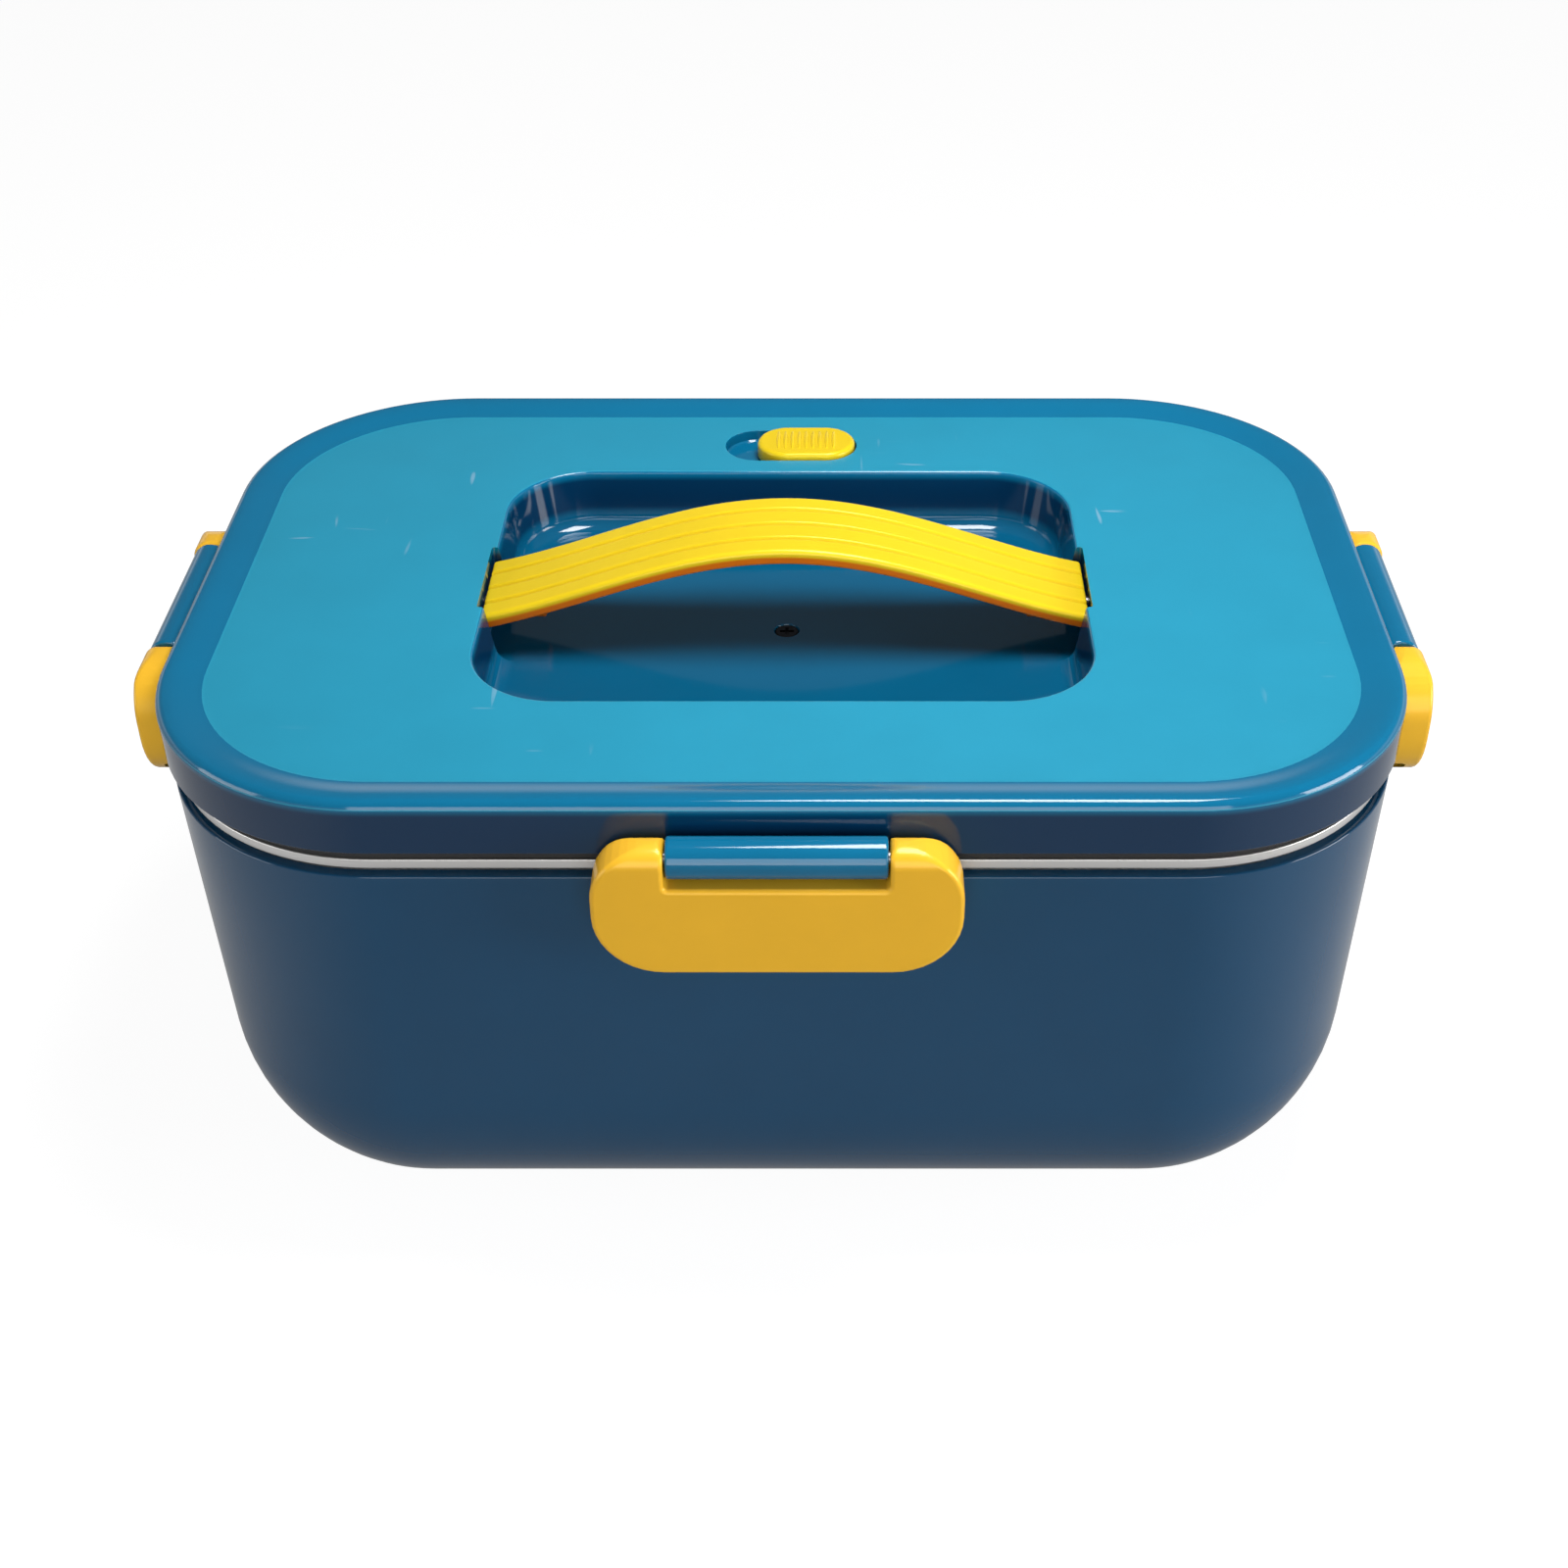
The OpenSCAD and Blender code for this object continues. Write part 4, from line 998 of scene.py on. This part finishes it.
def strap_shape(s):
    """The section carried along x under the strap's upper face, drawn in a little at each end."""
    ys, zs = strap_section(s)
    end, round_r, less_in_depth = strap_end(s), 0.6, 0.8
    back, shrink = rounding(round_r, 7).T
    tip = end - back
    middle = np.linspace(-(end - round_r), end - round_r, 121)[1:-1]
    x = np.concatenate([-tip, middle, tip[::-1]])
    inset = np.concatenate([shrink, np.zeros_like(middle), shrink[::-1]])
    scale_y = 1 - inset / (s.handle_w / 2)
    scale_z = 1 - inset / (s.handle_t / 2) * less_in_depth
    centre = s.handle_t / 2
    y = scale_y[:, None] * ys
    z = strap_top(s, x)[:, None] - (centre + scale_z[:, None] * (zs - centre))
    return skin(np.stack([np.broadcast_to(x[:, None], y.shape), y, z], -1))


def knuckle_shapes(s):
    """The two round ends that turn on the handle's pins."""
    end, length, r = s.recess_half_w - 2.5, 8.0, 2.9
    at_pivot = (0.0, 0.0, s.pivot_z)
    return tuple(
        moved(rod(r, start, start + length, bevel=0.6), at_pivot) for start in (end - length, -end)
    )


class LUNCHBOX_OT_handle(Operator):
    """Build the grooved handle strap"""

    bl_idname = "lunchbox.handle"
    bl_label = "Handle"

    def execute(self, context):
        s, colours = settings(context)
        obj = new_object("handle_strap", joined(strap_shape(s), *knuckle_shapes(s)))
        finish_piece(obj, "handle", "yellow_plastic", strap_plastic(s, colours), "handle")
        return {"FINISHED"}


# ---- Vent slider ----

def slider_shape(s):
    """Slider: stadium block with a rounded upper edge, and low ribs as flattened ellipsoids."""
    panel, half_l, half_w, gap, low_edge, edge = s.lid_top - s.band_rise, 10.6, 6.7, 0.3, 0.3, 1.0
    low, top, centre_x = panel - 2.45, panel + 1.2, SLOT_HALF - gap - half_l
    rows = [(low_edge, low), (0.0, low + low_edge)]
    rows += [(inset, top - drop) for inset, drop in rounding(edge, 8)]
    body = stadium(half_l, half_w, rows, (centre_x, s.slot_y))
    rib_count, rib_pitch, rib_radii, rib_z = 9, 1.5, (0.45, 4.2, 0.50), top - 0.05
    ribs = [
        ellipsoid((centre_x + (k - (rib_count - 1) / 2) * rib_pitch, s.slot_y, rib_z), rib_radii)
        for k in range(rib_count)
    ]
    return joined(body, *ribs)


def ellipsoid(centre, radii):
    """Ellipsoid: centre + radii (sin v cos u, sin v sin u, cos v), closed with a face near each pole."""
    near_pole = 0.08
    v = np.linspace(math.pi - near_pole, near_pole, 13)
    return skin(spun(np.sin(v), np.cos(v), 24) * radii + centre)


class LUNCHBOX_OT_vent(Operator):
    """Build the vent's slider"""

    bl_idname = "lunchbox.vent"
    bl_label = "Vent Slider"

    def execute(self, context):
        s, colours = settings(context)
        obj = new_object("vent_cap", slider_shape(s))
        finish_piece(obj, "vent", "yellow_plastic", slider_plastic(colours), "vent_slider")
        return {"FINISHED"}


# ---- Latches ----

EAR_R = 3.4         # rounding of the ears about the pin
LATCH_FACE = 4.2    # from the pin out to the latch's face
LATCH_BACK = 3.3    # from the pin in to the latch's back
LATCH_PLATE = 2.5   # thickness of the latch's face plate


def latch_outline(s, t):
    """Front outline drawn in by t: an upright rectangle with a notch, each corner an arc about
    V - r a + r b, where a and b are the directions in and out of the corner V."""
    half, notch = s.latch_w / 2 - t, 19.2 + t
    low, high, notch_z = -s.latch_reach + t, EAR_R - t, -4.1 - t
    low_r, ear_r, lip_r, notch_r = 12.2 - t, 10.0 - t, max(1.6 - t, 0.3), 0.8 + t
    corners = [
        (-half, low, low_r), (half, low, low_r), (half, high, ear_r), (notch, high, lip_r),
        (notch, notch_z, notch_r), (-notch, notch_z, notch_r), (-notch, high, lip_r), (-half, high, ear_r),
    ]
    spot = np.array([c[:2] for c in corners])
    r = np.array([c[2] for c in corners])[:, None, None]
    ahead = np.roll(spot, -1, 0) - spot
    out = ahead / np.linalg.norm(ahead, axis=1)[:, None]
    into = np.roll(out, 1, 0)
    a = quarter(11)[None, :, None]
    centre = spot[:, None] + r * (out - into)[:, None]
    return (centre + r * (into[:, None] * np.sin(a) - out[:, None] * np.cos(a))).reshape(-1, 2)


def latch_shape(s):
    """Latch drawn for the front with its pin at the origin: outlines carried from back to front,
    drawn in along quarter arcs at both faces."""
    front_r, back_r = 0.9, 0.5
    rows = [(inset, LATCH_BACK - out) for out, inset in rounding(back_r, 8)]
    rows += [(inset, -LATCH_FACE + back) for inset, back in rounding(front_r, 8)]
    rings = [
        np.stack([o[:, 0], np.full(len(o), y), o[:, 1]], 1)
        for inset, y in rows
        for o in [latch_outline(s, inset)]
    ]
    return skin(np.array(rings))


def round_ears(obj):
    """Rounds the ears about the pin: above it, the depth is squeezed between two circles of radius EAR_R."""
    highest_cut = EAR_R - 0.25
    mesh = bmesh.new()
    mesh.from_mesh(obj.data)
    for level in np.linspace(0.0, highest_cut, 12):
        everything = mesh.verts[:] + mesh.edges[:] + mesh.faces[:]
        bmesh.ops.bisect_plane(mesh, geom=everything, plane_co=(0, 0, level * MM), plane_no=(0, 0, 1))
    mesh.to_mesh(obj.data)
    mesh.free()
    points = mesh_points(obj.data)
    z = np.clip(points[:, 2], 0.0, EAR_R)
    circle = np.sqrt(np.maximum(EAR_R ** 2 - z ** 2, 0.0))
    front = -(LATCH_FACE - EAR_R) - circle
    back = circle * LATCH_BACK / EAR_R
    share = (points[:, 1] + LATCH_FACE) / (LATCH_FACE + LATCH_BACK)
    points[:, 1] = front + share * (back - front)
    obj.data.vertices.foreach_set("co", (points * MM).ravel())
    obj.data.update()


def latch_hollow(s):
    """Hollow behind the face: a rounded block between the rim walls."""
    rim, high, corner_r, past_back = 2.2, -6.3, 3.3, 9.0
    low = -s.latch_reach + rim
    half_w, half_h = s.latch_w / 2 - rim, (high - low) / 2
    depths = [(1.0, 0.0), (0.3, 0.3), (0.0, 1.0), (0.0, past_back)]
    rings = plan_rings(inset_rows(half_w, half_h, corner_r, depths))
    x, z, y = rings[..., 0], rings[..., 1] + (low + high) / 2, rings[..., 2] - LATCH_FACE + LATCH_PLATE
    return skin(np.stack([x, y, z], -1))


def hook_shape(s):
    """Hook along the latch's lower rim, facing the housing's catch."""
    half, low, thick, into_plate, short = 14.0, -s.latch_reach + 2.0, 2.5, 0.3, 1.2
    back = -LATCH_FACE + LATCH_PLATE - into_plate
    return block((-half, back, low), (half, s.pin_out - short, low + thick), bevel=0.4)


class LUNCHBOX_OT_latches(Operator):
    """Build the four latches"""

    bl_idname = "lunchbox.latches"
    bl_label = "Latches"

    def execute(self, context):
        s, colours = settings(context)
        drawn = new_object("latch_drawn", latch_shape(s))
        round_ears(drawn)
        carve(drawn, latch_hollow(s))
        add_islands(drawn, hook_shape(s))
        faces = [list(f.vertices) for f in drawn.data.polygons]
        at_pin = mesh_points(drawn.data) + (0.0, -s.pin_out, s.pin_z)
        bpy.data.objects.remove(drawn)
        for side in SIDES:
            obj = new_object(side + "_latch", turned((at_pin, faces), side, reach_of(s, side)))
            finish_piece(obj, "latch_" + side, "yellow_plastic", trim_plastic(colours), "latch_" + side)
        return {"FINISHED"}


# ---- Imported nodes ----

class LUNCHBOX_OT_inner_parts(Operator):
    """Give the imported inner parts, seals, screws and feet their finishes"""

    bl_idname = "lunchbox.inner_parts"
    bl_label = "Inner Parts"

    def execute(self, context):
        _, colours = settings(context)
        pins = ["latch_pin_" + side for side in SIDES]
        dress(shell_plastic(colours), "base_cover")
        dress(liner_plastic(colours), "lid_liner")
        dress(dark_rubber(colours), "rubber_feet", "vent_seal")
        dress(
            brushed_metal("plated steel", (0.45, 0.45, 0.46), rough=0.35),
            "base_screws", "bracket_screws", "heater_bracket", "handle_pins", *pins,
        )
        dress(brushed_metal("dark screw", (0.035, 0.035, 0.040), rough=0.35), "lid_screw")
        dress(brushed_metal("rolled aluminium", (0.80, 0.81, 0.82), rough=0.32), "heater_plate")
        dress(brushed_metal("plated brass", (0.78, 0.66, 0.36), rough=0.24), "inlet_pins")
        dress(
            moulded_plastic("ceramic", (0.62, 0.58, 0.48), rough=0.75, bump=0.2, grain=1400.0),
            "ptc_heaters", "insulation_pad", "thermal_fuse", "indicator_lamp",
        )
        dress(
            moulded_plastic("dark moulding", (0.014, 0.014, 0.016), rough=0.42, bump=0.12),
            "ac_inlet", "thermostat",
        )
        dress(moulded_plastic("red lens", (0.42, 0.012, 0.010), rough=0.12), "indicator_lens")
        dress(
            moulded_plastic("lead sleeve", (0.08, 0.10, 0.28), rough=0.5, bump=0.1),
            "live_lead", "neutral_lead", "lamp_lead",
        )
        return {"FINISHED"}


# ---- Stage ----

FRAME_PIXELS = 1600             # width and height of the frame
FOCAL_PIXELS = 2247.2           # focal length, in its pixels
CENTRE_PIXEL_X = 857.35         # column that the lens points at
SENSOR_MM = 36.0
CAMERA_TILT = 35.837            # degrees below level
CAMERA_PLACE = (0.01074, -0.37744, 0.33841)
FLOOR_HALF = 6000.0             # half the floor's width, in millimetres
FLOOR_GLOW = 0.92               # brightness of the floor to the camera
FLOOR_IN_GLOSS = 0.22           # share of it that gloss sees, in the middle, kept dim there as painted shadow of the box
SIDES_IN_GLOSS = 0.42           # and to the sides
SKY_FILL = 0.10                 # light from all round
BACKDROP_FADE = (0.0, 0.30)     # heights in the world's sky between which gloss sees it fade
BACKDROP_TONES = (1.0, 0.15)    # its brightness at those heights
SIDES_FADE = (0.09, 0.20)       # distances to the side between which the floor grows brighter in gloss, as its painted shadow of the box fades
LAMPS = (                       # name, place, aim, width and power
    ("overhead", (0.07, -0.03, 0.46), (0.0, 0.0, 0.10), 0.16, 1.6),
    ("front fill", (0.10, -1.60, 0.30), (0.0, 0.0, 0.07), 1.3, 16.0),
    ("right fill", (1.10, -0.35, 0.20), (0.0, 0.0, 0.07), 0.6, 10.0),
    ("left fill", (-1.10, -0.35, 0.20), (0.0, 0.0, 0.07), 0.6, 3.2),
)


def add_camera():
    """Camera with the view's lens, tilt and sideways shift."""
    data = bpy.data.cameras.new("camera")
    data.sensor_width = SENSOR_MM
    data.lens = SENSOR_MM * FOCAL_PIXELS / FRAME_PIXELS
    data.shift_x = -(CENTRE_PIXEL_X - FRAME_PIXELS / 2) / FRAME_PIXELS
    data.clip_start = 0.01
    data.clip_end = 50.0
    camera = bpy.data.objects.new("camera", data)
    camera.location = CAMERA_PLACE
    camera.rotation_euler = (math.radians(90.0 - CAMERA_TILT), 0.0, 0.0)
    bpy.context.scene.collection.objects.link(camera)
    bpy.context.scene.camera = camera


def add_area(name, place, aim, across, power):
    """Square area lamp at a place, aimed at a point."""
    data = bpy.data.lights.new(name, "AREA")
    data.shape = "SQUARE"
    data.size = across
    data.energy = power
    lamp = bpy.data.objects.new(name, data)
    lamp.location = place
    lamp.rotation_euler = (Vector(aim) - Vector(place)).to_track_quat("-Z", "Y").to_euler()
    bpy.context.scene.collection.objects.link(lamp)


def seen_white(tree, in_gloss):
    """1 for camera and transmission rays, in_gloss for gloss rays, 0 for the rest."""
    rays = add_node(tree, "LightPath", {}).outputs
    through = math_node(tree, "MAXIMUM", rays["Is Camera Ray"], rays["Is Transmission Ray"])
    return math_node(tree, "MAXIMUM", through, times(tree, rays["Is Glossy Ray"], in_gloss))


def floor_material(colours):
    """Matt floor: nearly white where it is seen, dim for the light it throws back, with a faint mottle, and
    dimmer to gloss along the middle: a painted shadow of the box in its reflections.
    """
    material, tree, shader = new_material("studio floor")
    haze = place_group(tree, moulding_group(), {})["Haze"]
    darkest = 0.97
    mottle = mixed(tree, haze, tuple(darkest * c for c in colours.floor), tuple(colours.floor))
    # Gloss sees the floor dimmer near the middle: painted shadow of the box.
    aside = math_node(tree, "ABSOLUTE", axes(tree)[0])
    in_gloss = smooth(tree, aside, *SIDES_FADE, FLOOR_IN_GLOSS, SIDES_IN_GLOSS)
    set_inputs(tree, shader, {
        "Base Color": mottle,
        "Roughness": 0.9,
        "Specular IOR Level": 0.1,
        "Emission Color": (1.0, 1.0, 1.0),
        "Emission Strength": times(tree, seen_white(tree, in_gloss), FLOOR_GLOW),
    })
    return material


def set_world():
    """World: white to the camera, a backdrop that fades with height to gloss, dim for the light it gives."""
    world = bpy.data.worlds.new("studio")
    world.use_nodes = True
    tree = world.node_tree
    background = next(n for n in tree.nodes if n.type == "BACKGROUND")
    backdrop = smooth(tree, axes(tree, "Generated")[2], *BACKDROP_FADE, *BACKDROP_TONES)
    strength = math_node(tree, "MAXIMUM", seen_white(tree, backdrop), SKY_FILL)
    set_inputs(tree, background, {"Color": (1.0, 1.0, 1.0), "Strength": strength})
    bpy.context.scene.world = world


class LUNCHBOX_OT_stage(Operator):
    """Build the floor, lamps, world and camera"""

    bl_idname = "lunchbox.stage"
    bl_label = "Stage"

    def execute(self, context):
        _, colours = settings(context)
        corners = FLOOR_HALF * np.array([(-1, -1, 0), (1, -1, 0), (1, 1, 0), (-1, 1, 0)])
        floor = new_object("floor", (corners, [[0, 1, 2, 3]]))
        floor.data.materials.append(floor_material(colours))
        set_world()
        for lamp in LAMPS:
            add_area(*lamp)
        add_camera()
        context.scene.view_settings.view_transform = "Standard"
        return {"FINISHED"}


# ---- Panel ----

OPERATORS = (
    LUNCHBOX_OT_stage,
    LUNCHBOX_OT_housing,
    LUNCHBOX_OT_well,
    LUNCHBOX_OT_container,
    LUNCHBOX_OT_lid,
    LUNCHBOX_OT_seal,
    LUNCHBOX_OT_handle,
    LUNCHBOX_OT_vent,
    LUNCHBOX_OT_latches,
    LUNCHBOX_OT_inner_parts,
)


class LUNCHBOX_PT_panel(Panel):
    """Lists the lunch box's pieces, sizes and colours"""

    bl_label = "Lunch Box"
    bl_idname = "LUNCHBOX_PT_panel"
    bl_space_type = "VIEW_3D"
    bl_region_type = "UI"
    bl_category = "Lunch Box"

    def draw(self, context):
        for operator in OPERATORS:
            self.layout.operator(operator.bl_idname)
        for group in settings(context):
            for name in group.bl_rna.properties.keys():
                if name not in ("rna_type", "name"):
                    self.layout.prop(group, name)


CLASSES = (LunchBoxSizes, LunchBoxColours, *OPERATORS, LUNCHBOX_PT_panel)


def register():
    for cls in CLASSES:
        bpy.utils.register_class(cls)
    bpy.types.Scene.lunchbox_sizes = PointerProperty(type=LunchBoxSizes)
    bpy.types.Scene.lunchbox_colours = PointerProperty(type=LunchBoxColours)


def unregister():
    del bpy.types.Scene.lunchbox_colours
    del bpy.types.Scene.lunchbox_sizes
    for cls in reversed(CLASSES):
        bpy.utils.unregister_class(cls)


def main():
    register()
    bpy.ops.lunchbox.stage()
    bpy.ops.lunchbox.housing()
    bpy.ops.lunchbox.well()
    bpy.ops.lunchbox.container()
    bpy.ops.lunchbox.lid()
    bpy.ops.lunchbox.seal()
    bpy.ops.lunchbox.handle()
    bpy.ops.lunchbox.vent()
    bpy.ops.lunchbox.latches()
    bpy.ops.lunchbox.inner_parts()


if __name__ == "__main__":
    main()
